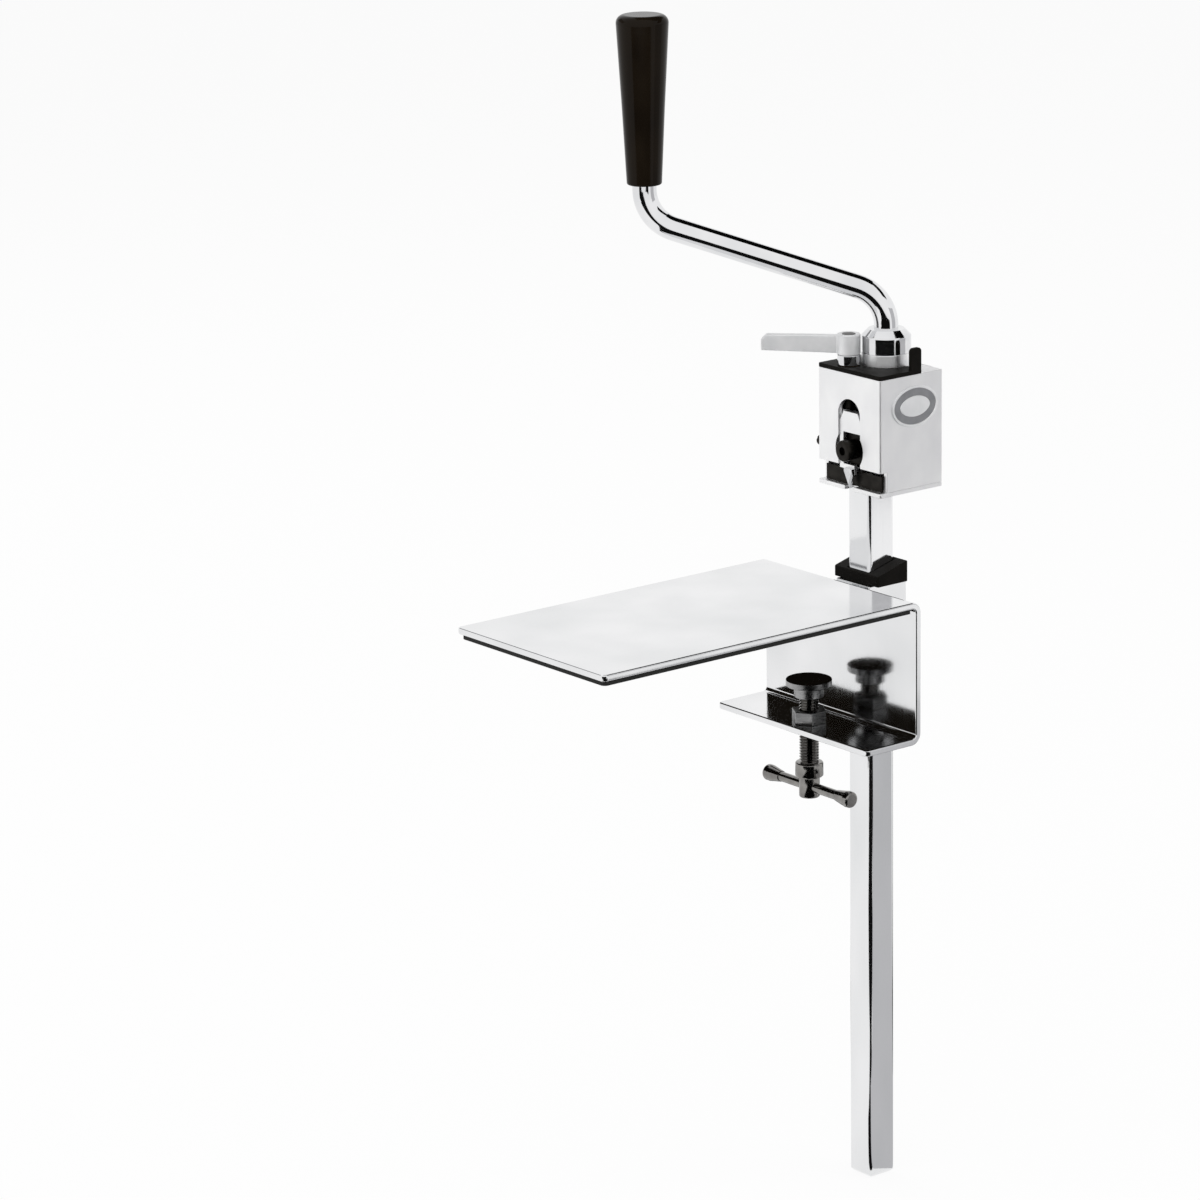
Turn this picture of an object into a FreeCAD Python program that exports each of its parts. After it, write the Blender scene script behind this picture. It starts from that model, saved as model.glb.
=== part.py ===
import FreeCAD, Part
import math
import os
import Sketcher
from types import SimpleNamespace

# Bench can opener: a clamp-on base frame, a square mast that slides in it, and a head on the mast
# with a crank, a bevel gear pair, a feed wheel and a knife that a small lever lowers.
# Origin: on the clamp screw's axis, in the worktop's surface. +Z up, +X towards the mast. Millimetres.

os.makedirs("parts", exist_ok=True)
doc = FreeCAD.newDocument("bench_can_opener")

# Driving dimensions, in millimetres and degrees
driving = {
    # base frame, one strip bent round the worktop's edge
    "plate_length": 240.0,
    "plate_width": 138.0,
    "strip_thick": 4.0,
    "bend_radius": 3.0,
    "wall_outside": 28.6,
    "frame_drop": 88.0,
    "jaw_reach": 43.0,
    "corner_round": 3.0,
    "pad_thick": 3.0,
    "pad_inset": 2.0,
    # clamp
    "screw_radius": 6.0,
    "screw_tip_radius": 4.5,
    "screw_bevel": 0.6,
    "nut_across": 19.0,
    "nut_height": 8.0,
    "foot_rise": 8.0,
    "foot_radius": 14.0,
    "foot_rim": 4.0,
    "foot_hub_radius": 9.0,
    "foot_hub_length": 7.0,
    "collar_below": 102.0,
    "collar_radius": 8.5,
    "collar_length": 9.0,
    "boss_radius": 6.3,
    "boss_length": 13.0,
    "bar_radius": 3.0,
    "bar_length": 78.0,
    "bar_drop": 6.5,
    "knob_radius": 5.0,
    "knob_length": 13.0,
    "knob_neck": 3.45,
    "knob_rim": 3.9,
    "knob_round": 1.5,
    # mast and its guide
    "mast_side": 20.0,
    "mast_length": 448.0,
    "spacer_thick": 6.2,
    "mast_chamfer": 2.0,
    "mast_round": 2.5,
    "head_height": 61.0,
    "mast_socket": 8.0,
    "bush_wall": 2.0,
    "guide_wall": 3.0,
    "guide_length": 72.0,
    "guide_top": 3.5,
    "guide_bar_width": 40.0,
    "skirt_length": 16.0,
    "bush_flange": 3.0,
    "collar_width": 40.0,
    "collar_low": 6.5,
    "collar_high": 13.0,
    # head
    "head_overhang": 17.3,
    "head_long": 50.0,
    "head_wide": 56.0,
    "head_tall": 71.6,
    "head_wall": 3.0,
    "head_round": 1.2,
    "fine_round": 0.6,
    "floor_thick": 2.6,
    "block_thick": 9.0,
    "rim_recess_tall": 12.4,
    "rim_recess_deep": 5.5,
    "rim_stop_thick": 1.6,
    "rim_stop_tall": 9.4,
    "slot_width": 19.5,
    "slot_top": 56.0,
    "lid_thick": 6.0,
    "plate_black_thick": 2.5,
    "plate_black_long": 33.0,
    "stop_tab_long": 8.2,
    "stop_tab_tall": 13.5,
    "stop_tab_thick": 2.5,
    # crank
    "crank_set": 29.7,
    "shaft_radius": 6.0,
    "flange_radius": 15.0,
    "washer_thick": 1.4,
    "washer_radius": 12.0,
    "flange_thick": 8.3,
    "hub_thick": 13.9,
    "hub_top_radius": 11.0,
    "hub_crown": 4.0,
    "rod_radius": 7.3,
    "rod_rise": 19.8,
    "arm_throw": 143.5,
    "arm_climb": 46.6,
    "rod_bend": 25.0,
    "arm_angle": 138.5,
    "spindle_radius": 5.0,
    "spindle_end": 3.0,
    "clip_thick": 1.4,
    "clip_wall": 2.0,
    "clip_well": 8.0,
    "clip_deep": 4.9,
    "grip_gap": 21.5,
    "grip_length": 101.5,
    "grip_low_radius": 10.5,
    "grip_high_radius": 16.0,
    "grip_round": 5.0,
    "cap_height": 9.8,
    # drive
    "drive_height": 25.0,
    "gear_teeth": 16.0,
    "gear_radius": 12.0,
    "gear_face": 5.0,
    "gear_hub_radius": 9.0,
    "gear_hub_length": 6.0,
    "gear_backlash": 0.24,
    "feed_radius": 5.0,
    "bearing_shell": 2.5,
    "rear_post_thick": 5.0,
    "feed_hub_length": 2.4,
    "wheel_radius": 10.2,
    "wheel_tooth": 1.1,
    "wheel_teeth": 24.0,
    "wheel_opening": 12.3,
    "wheel_seat": 3.0,
    "wheel_thick": 5.5,
    "wheel_deep": 9.9,
    "wheel_boss_radius": 6.0,
    "wheel_boss_proud": 1.0,
    "wheel_screw_radius": 6.5,
    "wheel_screw_head": 4.5,
    # knife and its lever
    "carrier_setback": 1.0,
    "carrier_thick": 2.4,
    "carrier_bar": 3.0,
    "carrier_crown": 12.6,
    "carrier_top": 48.0,
    "carrier_bottom": 9.6,
    "knife_travel": 3.0,
    "knife_width": 7.0,
    "knife_thick": 2.2,
    "knife_tip": 1.6,
    "knife_point": 0.7,
    "knife_bevel": 1.0,
    "knife_top": 13.6,
    "slider_width": 28.0,
    "slider_thick": 1.8,
    "slider_tall": 11.0,
    "lever_set": 9.4,
    "lever_aside": 10.7,
    "lever_shaft_radius": 4.0,
    "lever_boss_radius": 7.0,
    "lever_swing": 80.0,
    "lever_reach": 53.0,
    "lever_thick": 5.0,
    "lever_tall": 12.5,
    "lever_step": 0.8,
    "lever_tip_tall": 9.8,
    "lever_bevel": 2.9,
    "lever_raise": 6.2,
    "lever_angle": 130.5,
    "pin_radius": 1.2,
    "groove_deep": 1.4,
    "groove_runout": 30.0,
    # screws and clearances
    "small_screw_radius": 1.5,
    "screw_head_radius": 2.8,
    "screw_head_tall": 1.8,
    "screw_length": 8.0,
    "screw_low": 6.5,
    "screw_aside": 18.0,
    "screw_near": 15.0,
    "screw_far": 40.0,
    "running_gap": 0.05,
    "slide_gap": 0.1,
    "face_gap": 0.3,
    "thread_gap": 0.5,
    "cut_over": 1.0,
}

# Shapes given as shares of another size
share = SimpleNamespace(
    gear_addendum=0.85,
    gear_dedendum=1.15,
    gear_tooth_root=1.15,
    gear_tooth_tip=0.52,
    gear_tooth_sink=0.15,
    wheel_tooth_root=0.85,
    wheel_tooth_tip=0.15,
    grip_waist=0.42,
    grip_waist_high=0.5,
)

# How near counts as touching, and how tall an upright edge is at least
TOUCH = 0.01
UPRIGHT = 1.0

sheet = doc.addObject("Spreadsheet::Sheet", "sizes")
for row, (alias, value) in enumerate(driving.items(), start=1):
    sheet.set(f"A{row}", alias)
    sheet.set(f"B{row}", str(value))
    sheet.setAlias(f"B{row}", alias)
doc.recompute()

ARITHMETIC = {
    "+": lambda left, right: left + right,
    "-": lambda left, right: left - right,
    "*": lambda left, right: left * right,
    "/": lambda left, right: left / right,
}


class Size:
    """A length or angle that knows its value and its formula in the sheet's names."""

    def __init__(self, value, formula=None):
        self.value = float(value)
        self.formula = formula or f"({float(value)})"

    def joined(self, sign, other, swapped=False):
        other = other if isinstance(other, Size) else Size(other)
        left, right = (other, self) if swapped else (self, other)
        value = ARITHMETIC[sign](left.value, right.value)
        return Size(value, f"({left.formula} {sign} {right.formula})")

    def __add__(self, other):
        return self.joined("+", other)

    def __radd__(self, other):
        return self.joined("+", other, swapped=True)

    def __sub__(self, other):
        return self.joined("-", other)

    def __rsub__(self, other):
        return self.joined("-", other, swapped=True)

    def __mul__(self, other):
        return self.joined("*", other)

    def __rmul__(self, other):
        return self.joined("*", other, swapped=True)

    def __truediv__(self, other):
        return self.joined("/", other)

    def __rtruediv__(self, other):
        return self.joined("/", other, swapped=True)

    def __neg__(self):
        return self.joined("*", -1.0)


def turned(function, name, angle):
    """sin, cos or tan of an angle in degrees."""
    return Size(function(math.radians(angle.value)), f"{name}({angle.formula} * 1 deg)")


def angle_of(up, across):
    """The angle in degrees whose tangent is up over across."""
    value = math.degrees(math.atan(up.value / across.value))
    return Size(value, f"(atan({up.formula} / {across.formula}) / 1 deg)")


s = SimpleNamespace(**{name: Size(value, f"sizes.{name}") for name, value in driving.items()})
ZERO = Size(0.0)

# Heights and places that several pieces share
plate_bottom = s.pad_thick
plate_top = plate_bottom + s.strip_thick
wall_inside = s.wall_outside - s.strip_thick
plate_left = s.wall_outside - s.plate_length
frame_bottom = plate_top - s.frame_drop
jaw_top = frame_bottom + s.strip_thick
jaw_left = s.wall_outside - s.jaw_reach
guide_inside = s.mast_side / 2 + s.slide_gap + s.bush_wall
guide_outside = guide_inside + s.guide_wall
guide_left = s.wall_outside + s.spacer_thick
mast_centre = guide_left + guide_outside
guide_bottom = s.guide_top - s.guide_length
head_left = mast_centre - s.head_overhang
head_right = head_left + s.head_long
head_top = s.head_height + s.head_tall
head_half = s.head_wide / 2
inside_left = head_left + s.head_wall
inside_right = head_right - s.head_wall
inside_half = head_half - s.head_wall
walls_bottom = s.head_height + s.floor_thick
recess_top = walls_bottom + s.rim_recess_tall
recess_back = head_left + s.rim_recess_deep
block_top = s.head_height + s.block_thick
lid_bottom = head_top - s.lid_thick
black_top = head_top + s.plate_black_thick
feed_height = s.head_height + s.drive_height
gear_outer = s.gear_radius
gear_cone = s.gear_radius * math.sqrt(2.0)
gear_shrink = (gear_cone - s.gear_face) / gear_cone
gear_inner = gear_outer * gear_shrink
washer_top = head_top + s.washer_thick
flange_bottom = washer_top + s.slide_gap
flange_top = flange_bottom + s.flange_thick
hub_top = flange_top + s.hub_thick
crank_x = head_left + s.crank_set
lever_x = head_left + s.lever_set
wheel_back = head_left + s.wheel_deep
wheel_boss_front = head_left - s.wheel_boss_proud
foot_bottom = jaw_top + s.nut_height + s.foot_rise


def bind(thing, prop, size):
    thing.setExpression(prop, size.formula)


def new_body(name):
    body = doc.addObject("PartDesign::Body", name)
    body.Label = name
    return body


def place(body, across=ZERO, deep=ZERO, high=ZERO, axis=(0, 0, 1), angle=0.0):
    """Gives the body its place, with the three distances bound to the sheet."""
    turn = FreeCAD.Rotation(FreeCAD.Vector(*axis), angle)
    base = FreeCAD.Vector(across.value, deep.value, high.value)
    body.Placement = FreeCAD.Placement(base, turn)
    bind(body, "Placement.Base.x", across)
    bind(body, "Placement.Base.y", deep)
    bind(body, "Placement.Base.z", high)


def new_sketch(body, plane, name, lift=None):
    """A sketch on one of the body's origin planes: XY, XZ or YZ, lifted along the plane's normal."""
    sketch = body.newObject("Sketcher::SketchObject", name)
    role = plane + "_Plane"
    support = [feature for feature in body.Origin.OriginFeatures if feature.Role == role][0]
    sketch.AttachmentSupport = [(support, "")]
    sketch.MapMode = "FlatFace"
    if lift is not None:
        bind(sketch, "AttachmentOffset.Base.z", lift)
    return sketch


def pin_point(sketch, line, point, across, up):
    """Holds a point of the sketch at two bound distances from its origin."""
    for kind, size in (("DistanceX", across), ("DistanceY", up)):
        index = sketch.addConstraint(Sketcher.Constraint(kind, -1, 1, line, point, size.value))
        bind(sketch, f"Constraints[{index}]", size)


def draw_outline(sketch, points):
    """A closed outline of straight lines through the given points."""
    first = sketch.GeometryCount
    count = len(points)
    ends = [FreeCAD.Vector(across.value, up.value, 0) for across, up in points]
    for index in range(count):
        sketch.addGeometry(Part.LineSegment(ends[index], ends[(index + 1) % count]))
    for index in range(count):
        following = first + (index + 1) % count
        sketch.addConstraint(Sketcher.Constraint("Coincident", first + index, 2, following, 1))
    for index, (across, up) in enumerate(points):
        pin_point(sketch, first + index, 1, across, up)


def draw_rectangle(sketch, left, right, low, high):
    draw_outline(sketch, [(left, low), (right, low), (right, high), (left, high)])


def draw_circle(sketch, across, up, radius):
    centre = FreeCAD.Vector(across.value, up.value, 0)
    circle = sketch.addGeometry(Part.Circle(centre, FreeCAD.Vector(0, 0, 1), radius.value))
    pin_point(sketch, circle, 3, across, up)
    index = sketch.addConstraint(Sketcher.Constraint("Radius", circle, radius.value))
    bind(sketch, f"Constraints[{index}]", radius)


def add_pad(body, sketch, length, both_ways=False, backwards=False):
    pad = body.newObject("PartDesign::Pad", sketch.Name + "_pad")
    pad.Profile = sketch
    bind(pad, "Length", length)
    if both_ways:
        pad.SideType = "Symmetric"
    pad.Reversed = backwards
    doc.recompute()
    return pad


def add_pocket(body, sketch, depth=None, both_ways=False, backwards=False):
    """Cuts the sketch into the body, through all of it when no depth is given."""
    before = body.Shape.Volume
    pocket = body.newObject("PartDesign::Pocket", sketch.Name + "_pocket")
    pocket.Profile = sketch
    if depth is None:
        pocket.Type = "ThroughAll"
    else:
        bind(pocket, "Length", depth)
    if both_ways:
        pocket.SideType = "Symmetric"
    pocket.Reversed = backwards
    doc.recompute()
    if not body.Shape.Volume < before:
        raise RuntimeError(f"{sketch.Name} cuts nothing from {body.Name}")
    return pocket


def add_turning(body, sketch):
    """Turns the sketch all the way round its own vertical axis."""
    turning = body.newObject("PartDesign::Revolution", sketch.Name + "_turned")
    turning.Profile = sketch
    turning.ReferenceAxis = (sketch, ["V_Axis"])
    doc.recompute()
    return turning


def edges_where(body, test):
    """Names of the body's edges whose middle, direction and box pass the test."""
    names = []
    for index, edge in enumerate(body.Shape.Edges, start=1):
        if test(edge):
            names.append(f"Edge{index}")
    return names


def soften(body, kind, size, test):
    """Rounds (Fillet) or bevels (Chamfer) the edges that pass the test."""
    tip = body.Tip
    names = edges_where(body, test)
    if not names:
        raise RuntimeError(f"no edge to soften on {body.Name}")
    feature = body.newObject("PartDesign::" + kind, f"{body.Name}_{kind.lower()}_{len(body.Group)}")
    feature.Base = (tip, names)
    bind(feature, "Radius" if kind == "Fillet" else "Size", size)
    doc.recompute()
    return feature


def lies_at(edge, **sides):
    """True when the whole edge lies at the given x, y or z of the body's own frame."""
    box = edge.BoundBox
    spans = {"x": (box.XMin, box.XMax), "y": (box.YMin, box.YMax), "z": (box.ZMin, box.ZMax)}
    return all(abs(end - size.value) < TOUCH for side, size in sides.items() for end in spans[side])


def turned_body(name, outline):
    """A body of revolution about its own Z from an outline of (radius, height) points."""
    body = new_body(name)
    sketch = new_sketch(body, "XZ", name + "_outline")
    draw_outline(sketch, outline)
    add_turning(body, sketch)
    return body


def ring_body(name, inner, outer, length):
    """A plain ring or bush standing on its own XY plane."""
    return turned_body(name, [(inner, ZERO), (outer, ZERO), (outer, length), (inner, length)])


def make_rubber_pad():
    body = new_body("rubber_pad")
    sketch = new_sketch(body, "XY", "pad_outline")
    half = s.plate_width / 2 - s.pad_inset
    draw_rectangle(sketch, plate_left + s.pad_inset, wall_inside - s.bend_radius, -half, half)
    add_pad(body, sketch, s.pad_thick)
    left = plate_left + s.pad_inset
    soften(body, "Fillet", s.corner_round, lambda edge: lies_at(edge, x=left) and not lies_at(edge, z=ZERO)
           and not lies_at(edge, z=s.pad_thick))
    place(body)


def make_base_frame():
    body = new_body("base_frame")
    sketch = new_sketch(body, "XZ", "frame_strip")
    draw_outline(sketch, [
        (plate_left, plate_bottom), (wall_inside, plate_bottom), (wall_inside, jaw_top), (jaw_left, jaw_top),
        (jaw_left, frame_bottom), (s.wall_outside, frame_bottom), (s.wall_outside, plate_top),
        (plate_left, plate_top)])
    add_pad(body, sketch, s.plate_width, both_ways=True)
    soften(body, "Fillet", s.bend_radius, lambda edge: lies_at(edge, x=wall_inside)
           and (lies_at(edge, z=plate_bottom) or lies_at(edge, z=jaw_top)))
    outer_radius = s.bend_radius + s.strip_thick
    soften(body, "Fillet", outer_radius, lambda edge: lies_at(edge, x=s.wall_outside)
           and (lies_at(edge, z=plate_top) or lies_at(edge, z=frame_bottom)))
    soften(body, "Fillet", s.corner_round, lambda edge: edge.BoundBox.XLength < TOUCH
           and edge.BoundBox.ZLength > UPRIGHT and (lies_at(edge, x=plate_left) or lies_at(edge, x=jaw_left)))
    hole = new_sketch(body, "XY", "frame_screw_hole", jaw_top)
    draw_circle(hole, ZERO, ZERO, s.screw_radius + s.thread_gap)
    add_pocket(body, hole, s.strip_thick)
    place(body)


def make_clamp_nut():
    body = new_body("clamp_nut")
    sketch = new_sketch(body, "XY", "nut_outline")
    flat = s.nut_across / 2
    point = s.nut_across / math.sqrt(3.0)
    draw_outline(sketch, [(point, ZERO), (point / 2, flat), (-point / 2, flat),
                          (-point, ZERO), (-point / 2, -flat), (point / 2, -flat)])
    draw_circle(sketch, ZERO, ZERO, s.screw_radius + s.running_gap)
    add_pad(body, sketch, s.nut_height)
    place(body, high=jaw_top)


def make_pressure_foot():
    bore = s.screw_tip_radius + s.running_gap
    roof = s.foot_hub_length - s.thread_gap
    body = turned_body("pressure_foot", [
        (ZERO, roof), (bore, roof), (bore, ZERO), (s.foot_hub_radius, ZERO),
        (s.foot_hub_radius, s.foot_hub_length), (s.foot_radius, s.foot_hub_length),
        (s.foot_radius, s.foot_hub_length + s.foot_rim), (ZERO, s.foot_hub_length + s.foot_rim)])
    place(body, high=foot_bottom)


def make_clamp_screw():
    collar_top = -s.collar_below
    collar_low = collar_top - s.collar_length
    end = collar_low - s.boss_length
    tip = foot_bottom + s.foot_hub_length - s.thread_gap - s.slide_gap
    body = turned_body("clamp_screw", [
        (ZERO, end), (s.boss_radius, end), (s.boss_radius, collar_low), (s.collar_radius, collar_low),
        (s.collar_radius, collar_top), (s.screw_radius, collar_top),
        (s.screw_radius, foot_bottom - s.face_gap), (s.screw_tip_radius, foot_bottom - s.face_gap),
        (s.screw_tip_radius, tip), (ZERO, tip)])
    soften(body, "Chamfer", s.screw_bevel, lambda edge: lies_at(edge, z=end) or lies_at(edge, z=tip))
    hole = new_sketch(body, "XZ", "cross_hole")
    draw_circle(hole, ZERO, collar_low - s.bar_drop, s.bar_radius + s.running_gap)
    add_pocket(body, hole, both_ways=True)
    place(body)


def make_tommy_bar():
    height = -(s.collar_below + s.collar_length + s.bar_drop)
    inner = s.bar_length / 2 - s.knob_length
    seat = inner + s.knob_length / 2
    bar = turned_body("tommy_bar", [(ZERO, -seat), (s.bar_radius, -seat), (s.bar_radius, seat), (ZERO, seat)])
    place(bar, high=height, axis=(1, 0, 0), angle=-90.0)
    for name, way in (("tommy_knob_back", -90.0), ("tommy_knob_front", 90.0)):
        end = s.bar_length / 2
        knob = turned_body(name, [
            (s.bar_radius, inner), (s.knob_neck, inner), (s.knob_radius, end - s.knob_rim),
            (s.knob_radius, end), (ZERO, end), (ZERO, seat), (s.bar_radius, seat)])
        soften(knob, "Fillet", s.knob_round, lambda edge: lies_at(edge, z=end))
        place(knob, high=height, axis=(1, 0, 0), angle=way)


def make_guide():
    tube = new_body("guide_tube")
    sketch = new_sketch(tube, "XY", "tube_section")
    draw_rectangle(sketch, -guide_outside, guide_outside, -guide_outside, guide_outside)
    draw_rectangle(sketch, -guide_inside, guide_inside, -guide_inside, guide_inside)
    add_pad(tube, sketch, s.guide_length)
    soften(tube, "Fillet", s.head_round, lambda edge: edge.BoundBox.ZLength > UPRIGHT
           and abs(abs(edge.BoundBox.XMin) - guide_outside.value) < TOUCH)
    place(tube, across=mast_centre, high=guide_bottom)
    spacer = new_body("guide_spacer")
    sketch = new_sketch(spacer, "XY", "spacer_section")
    draw_rectangle(sketch, s.wall_outside, guide_left, -s.guide_bar_width / 2, s.guide_bar_width / 2)
    add_pad(spacer, sketch, s.guide_length - s.bend_radius - s.strip_thick)
    place(spacer, high=guide_bottom)


def make_bushes():
    hole = s.mast_side / 2 + s.slide_gap
    upper = new_body("upper_bush")
    front = -hole - s.bush_wall
    back = hole + s.bush_wall
    collar = new_sketch(upper, "XZ", "collar_side")
    draw_outline(collar, [(front, ZERO), (back, ZERO), (back, s.collar_high), (front, s.collar_low)])
    add_pad(upper, collar, s.collar_width, both_ways=True)
    soften(upper, "Fillet", s.head_round, lambda edge: edge.BoundBox.YLength < TOUCH
           and edge.BoundBox.XLength < TOUCH)
    skirt = new_sketch(upper, "XY", "upper_skirt")
    draw_rectangle(skirt, front, back, front, back)
    add_pad(upper, skirt, s.skirt_length, backwards=True)
    bore = new_sketch(upper, "XY", "upper_bore")
    draw_rectangle(bore, -hole, hole, -hole, hole)
    add_pocket(upper, bore, s.mast_length, both_ways=True)
    place(upper, across=mast_centre, high=s.guide_top)
    lower = new_body("lower_bush")
    flange = new_sketch(lower, "XY", "lower_flange")
    draw_rectangle(flange, -guide_outside, guide_outside, -guide_outside, guide_outside)
    add_pad(lower, flange, s.bush_flange, backwards=True)
    skirt = new_sketch(lower, "XY", "lower_skirt")
    draw_rectangle(skirt, front, back, front, back)
    add_pad(lower, skirt, s.skirt_length)
    bore = new_sketch(lower, "XY", "lower_bore")
    draw_rectangle(bore, -hole, hole, -hole, hole)
    add_pocket(lower, bore, s.mast_length, both_ways=True)
    place(lower, across=mast_centre, high=guide_bottom)


def make_mast():
    body = new_body("mast")
    sketch = new_sketch(body, "XY", "mast_section")
    half = s.mast_side / 2
    draw_rectangle(sketch, -half, half, -half, half)
    add_pad(body, sketch, s.mast_length)
    soften(body, "Chamfer", s.mast_chamfer, lambda edge: lies_at(edge, z=ZERO))
    soften(body, "Fillet", s.mast_round, lambda edge: edge.BoundBox.ZLength > s.mast_side.value)
    place(body, across=mast_centre, high=s.head_height + s.mast_socket - s.mast_length)


def screw_places():
    """Where the small screws of the head go: (x, y, z) on its right face and on its back face."""
    top = lid_bottom + s.lid_thick / 2
    low = s.head_height + s.screw_low
    near = head_left + s.screw_near
    far = head_left + s.screw_far
    right = [(head_right, way * s.screw_aside, height) for way in (-1.0, 1.0) for height in (low, top)]
    back = [(across, head_half, height) for across in (near, far) for height in (low, top)]
    return right, back


def drill_head(body, face_x, face_y, tag_end="holes", radius=s.small_screw_radius, depth=s.screw_length):
    """Clears the small screws' shanks, or sinks their heads, in a piece of the head."""
    right, back = screw_places()
    for tag, plane, spots in (("right", "YZ", right), ("back", "XZ", back)):
        lift = face_x if tag == "right" else -face_y
        sketch = new_sketch(body, plane, f"{body.Name}_{tag}_{tag_end}", lift)
        box = body.Shape.BoundBox
        for across, deep, high in spots:
            if box.ZMin < high.value < box.ZMax:
                level = deep if tag == "right" else across
                draw_circle(sketch, level, high, radius)
        add_pocket(body, sketch, depth, backwards=(tag == "back"))


def make_head_base():
    body = new_body("head_base")
    floor = new_sketch(body, "XY", "base_floor", s.head_height)
    draw_rectangle(floor, head_left, head_right, -head_half, head_half)
    add_pad(body, floor, s.floor_thick)
    soften(body, "Fillet", s.head_round, lambda edge: edge.BoundBox.ZLength > UPRIGHT)
    block = new_sketch(body, "XY", "base_block", walls_bottom)
    draw_rectangle(block, recess_back, inside_right, -inside_half, inside_half)
    add_pad(body, block, block_top - walls_bottom)
    post_half = s.feed_radius + s.bush_wall + s.bearing_shell
    post_high = feed_height - block_top
    front = new_sketch(body, "XY", "front_post", block_top)
    front_left = wheel_back + s.face_gap
    front_right = crank_x - gear_outer - s.feed_hub_length - s.face_gap
    draw_rectangle(front, front_left, front_right, -post_half, post_half)
    add_pad(body, front, post_high)
    rear = new_sketch(body, "XY", "rear_post", block_top)
    draw_rectangle(rear, inside_right - s.rear_post_thick, inside_right, -post_half, post_half)
    add_pad(body, rear, post_high)
    crowns = new_sketch(body, "YZ", "post_crowns", front_left)
    draw_circle(crowns, ZERO, feed_height, post_half)
    add_pad(body, crowns, front_right - front_left)
    crowns = new_sketch(body, "YZ", "rear_crown", inside_right - s.rear_post_thick)
    draw_circle(crowns, ZERO, feed_height, post_half)
    add_pad(body, crowns, s.rear_post_thick)
    bore = new_sketch(body, "YZ", "bearing_bore", inside_right)
    draw_circle(bore, ZERO, feed_height, s.feed_radius + s.bush_wall)
    add_pocket(body, bore, inside_right - front_left)
    socket = new_sketch(body, "XY", "mast_socket", s.head_height)
    half = s.mast_side / 2
    draw_rectangle(socket, mast_centre - half, mast_centre + half, -half, half)
    add_pocket(body, socket, s.mast_socket, backwards=True)
    notch = new_sketch(body, "XY", "knife_notch", s.head_height)
    notch_half = s.knife_width / 2 + s.thread_gap
    draw_rectangle(notch, head_left - s.cut_over, recess_back, -notch_half, notch_half)
    add_pocket(body, notch, s.floor_thick, backwards=True)
    drill_head(body, head_right, head_half)
    place(body)
    stop = new_body("rim_stop")
    sketch = new_sketch(stop, "XY", "rim_stop_outline", walls_bottom)
    draw_rectangle(sketch, recess_back - s.rim_stop_thick, recess_back, -inside_half, inside_half)
    add_pad(stop, sketch, s.rim_stop_tall)
    place(stop)


def make_head_housing():
    body = new_body("head_housing")
    sketch = new_sketch(body, "XY", "housing_outline", walls_bottom)
    draw_rectangle(sketch, head_left, head_right, -head_half, head_half)
    add_pad(body, sketch, head_top - walls_bottom)
    soften(body, "Fillet", s.head_round, lambda edge: edge.BoundBox.ZLength > UPRIGHT)
    inside = new_sketch(body, "XY", "housing_inside", walls_bottom)
    draw_rectangle(inside, inside_left, inside_right, -inside_half, inside_half)
    add_pocket(body, inside, head_top - walls_bottom, backwards=True)
    recess = new_sketch(body, "XZ", "rim_recess")
    draw_rectangle(recess, head_left - s.cut_over, recess_back, walls_bottom - s.cut_over, recess_top)
    add_pocket(body, recess, s.head_wide + s.cut_over, both_ways=True)
    half = s.slot_width / 2
    slot_high = s.head_height + s.slot_top
    slot = new_sketch(body, "YZ", "knife_slot", head_left)
    draw_rectangle(slot, -half, half, recess_top - s.cut_over, slot_high - half)
    add_pocket(body, slot, s.head_wall, backwards=True)
    arch = new_sketch(body, "YZ", "slot_arch", head_left)
    draw_circle(arch, ZERO, slot_high - half, half)
    add_pocket(body, arch, s.head_wall, backwards=True)
    opening = new_sketch(body, "YZ", "wheel_opening", head_left)
    draw_circle(opening, ZERO, feed_height, s.wheel_opening)
    add_pocket(body, opening, s.head_wall, backwards=True)
    drill_head(body, head_right, head_half)
    drill_head(body, head_right, head_half, "sinks", s.screw_head_radius, s.screw_head_tall)
    place(body)


def make_lid():
    body = new_body("head_lid")
    sketch = new_sketch(body, "XY", "lid_outline", lid_bottom)
    draw_rectangle(sketch, inside_left, inside_right, -inside_half, inside_half)
    draw_circle(sketch, crank_x, ZERO, s.shaft_radius + s.bush_wall)
    draw_circle(sketch, lever_x, s.lever_aside, s.lever_shaft_radius + s.bush_wall)
    add_pad(body, sketch, s.lid_thick)
    drill_head(body, head_right, head_half)
    place(body)
    black = new_body("lever_plate")
    sketch = new_sketch(black, "XY", "lever_plate_outline", head_top)
    draw_rectangle(sketch, head_left, head_left + s.plate_black_long, -head_half, head_half)
    draw_circle(sketch, lever_x, s.lever_aside, s.lever_shaft_radius + s.bush_wall)
    add_pad(black, sketch, s.plate_black_thick)
    soften(black, "Fillet", s.head_round, lambda edge: lies_at(edge, x=head_left)
           and edge.BoundBox.ZLength > UPRIGHT)
    notch = new_sketch(black, "XY", "flange_notch", head_top)
    draw_circle(notch, crank_x, ZERO, s.flange_radius + s.face_gap)
    add_pocket(black, notch, s.plate_black_thick, backwards=True)
    tab = new_sketch(black, "XY", "stop_tab", black_top)
    tab_right = head_left + s.plate_black_long
    draw_rectangle(tab, tab_right - s.stop_tab_long, tab_right, -head_half, -head_half + s.stop_tab_thick)
    add_pad(black, tab, s.stop_tab_tall)
    tab_top = black_top + s.stop_tab_tall
    soften(black, "Fillet", s.stop_tab_thick, lambda edge: lies_at(edge, z=tab_top)
           and edge.BoundBox.XLength < TOUCH)
    place(black)


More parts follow.
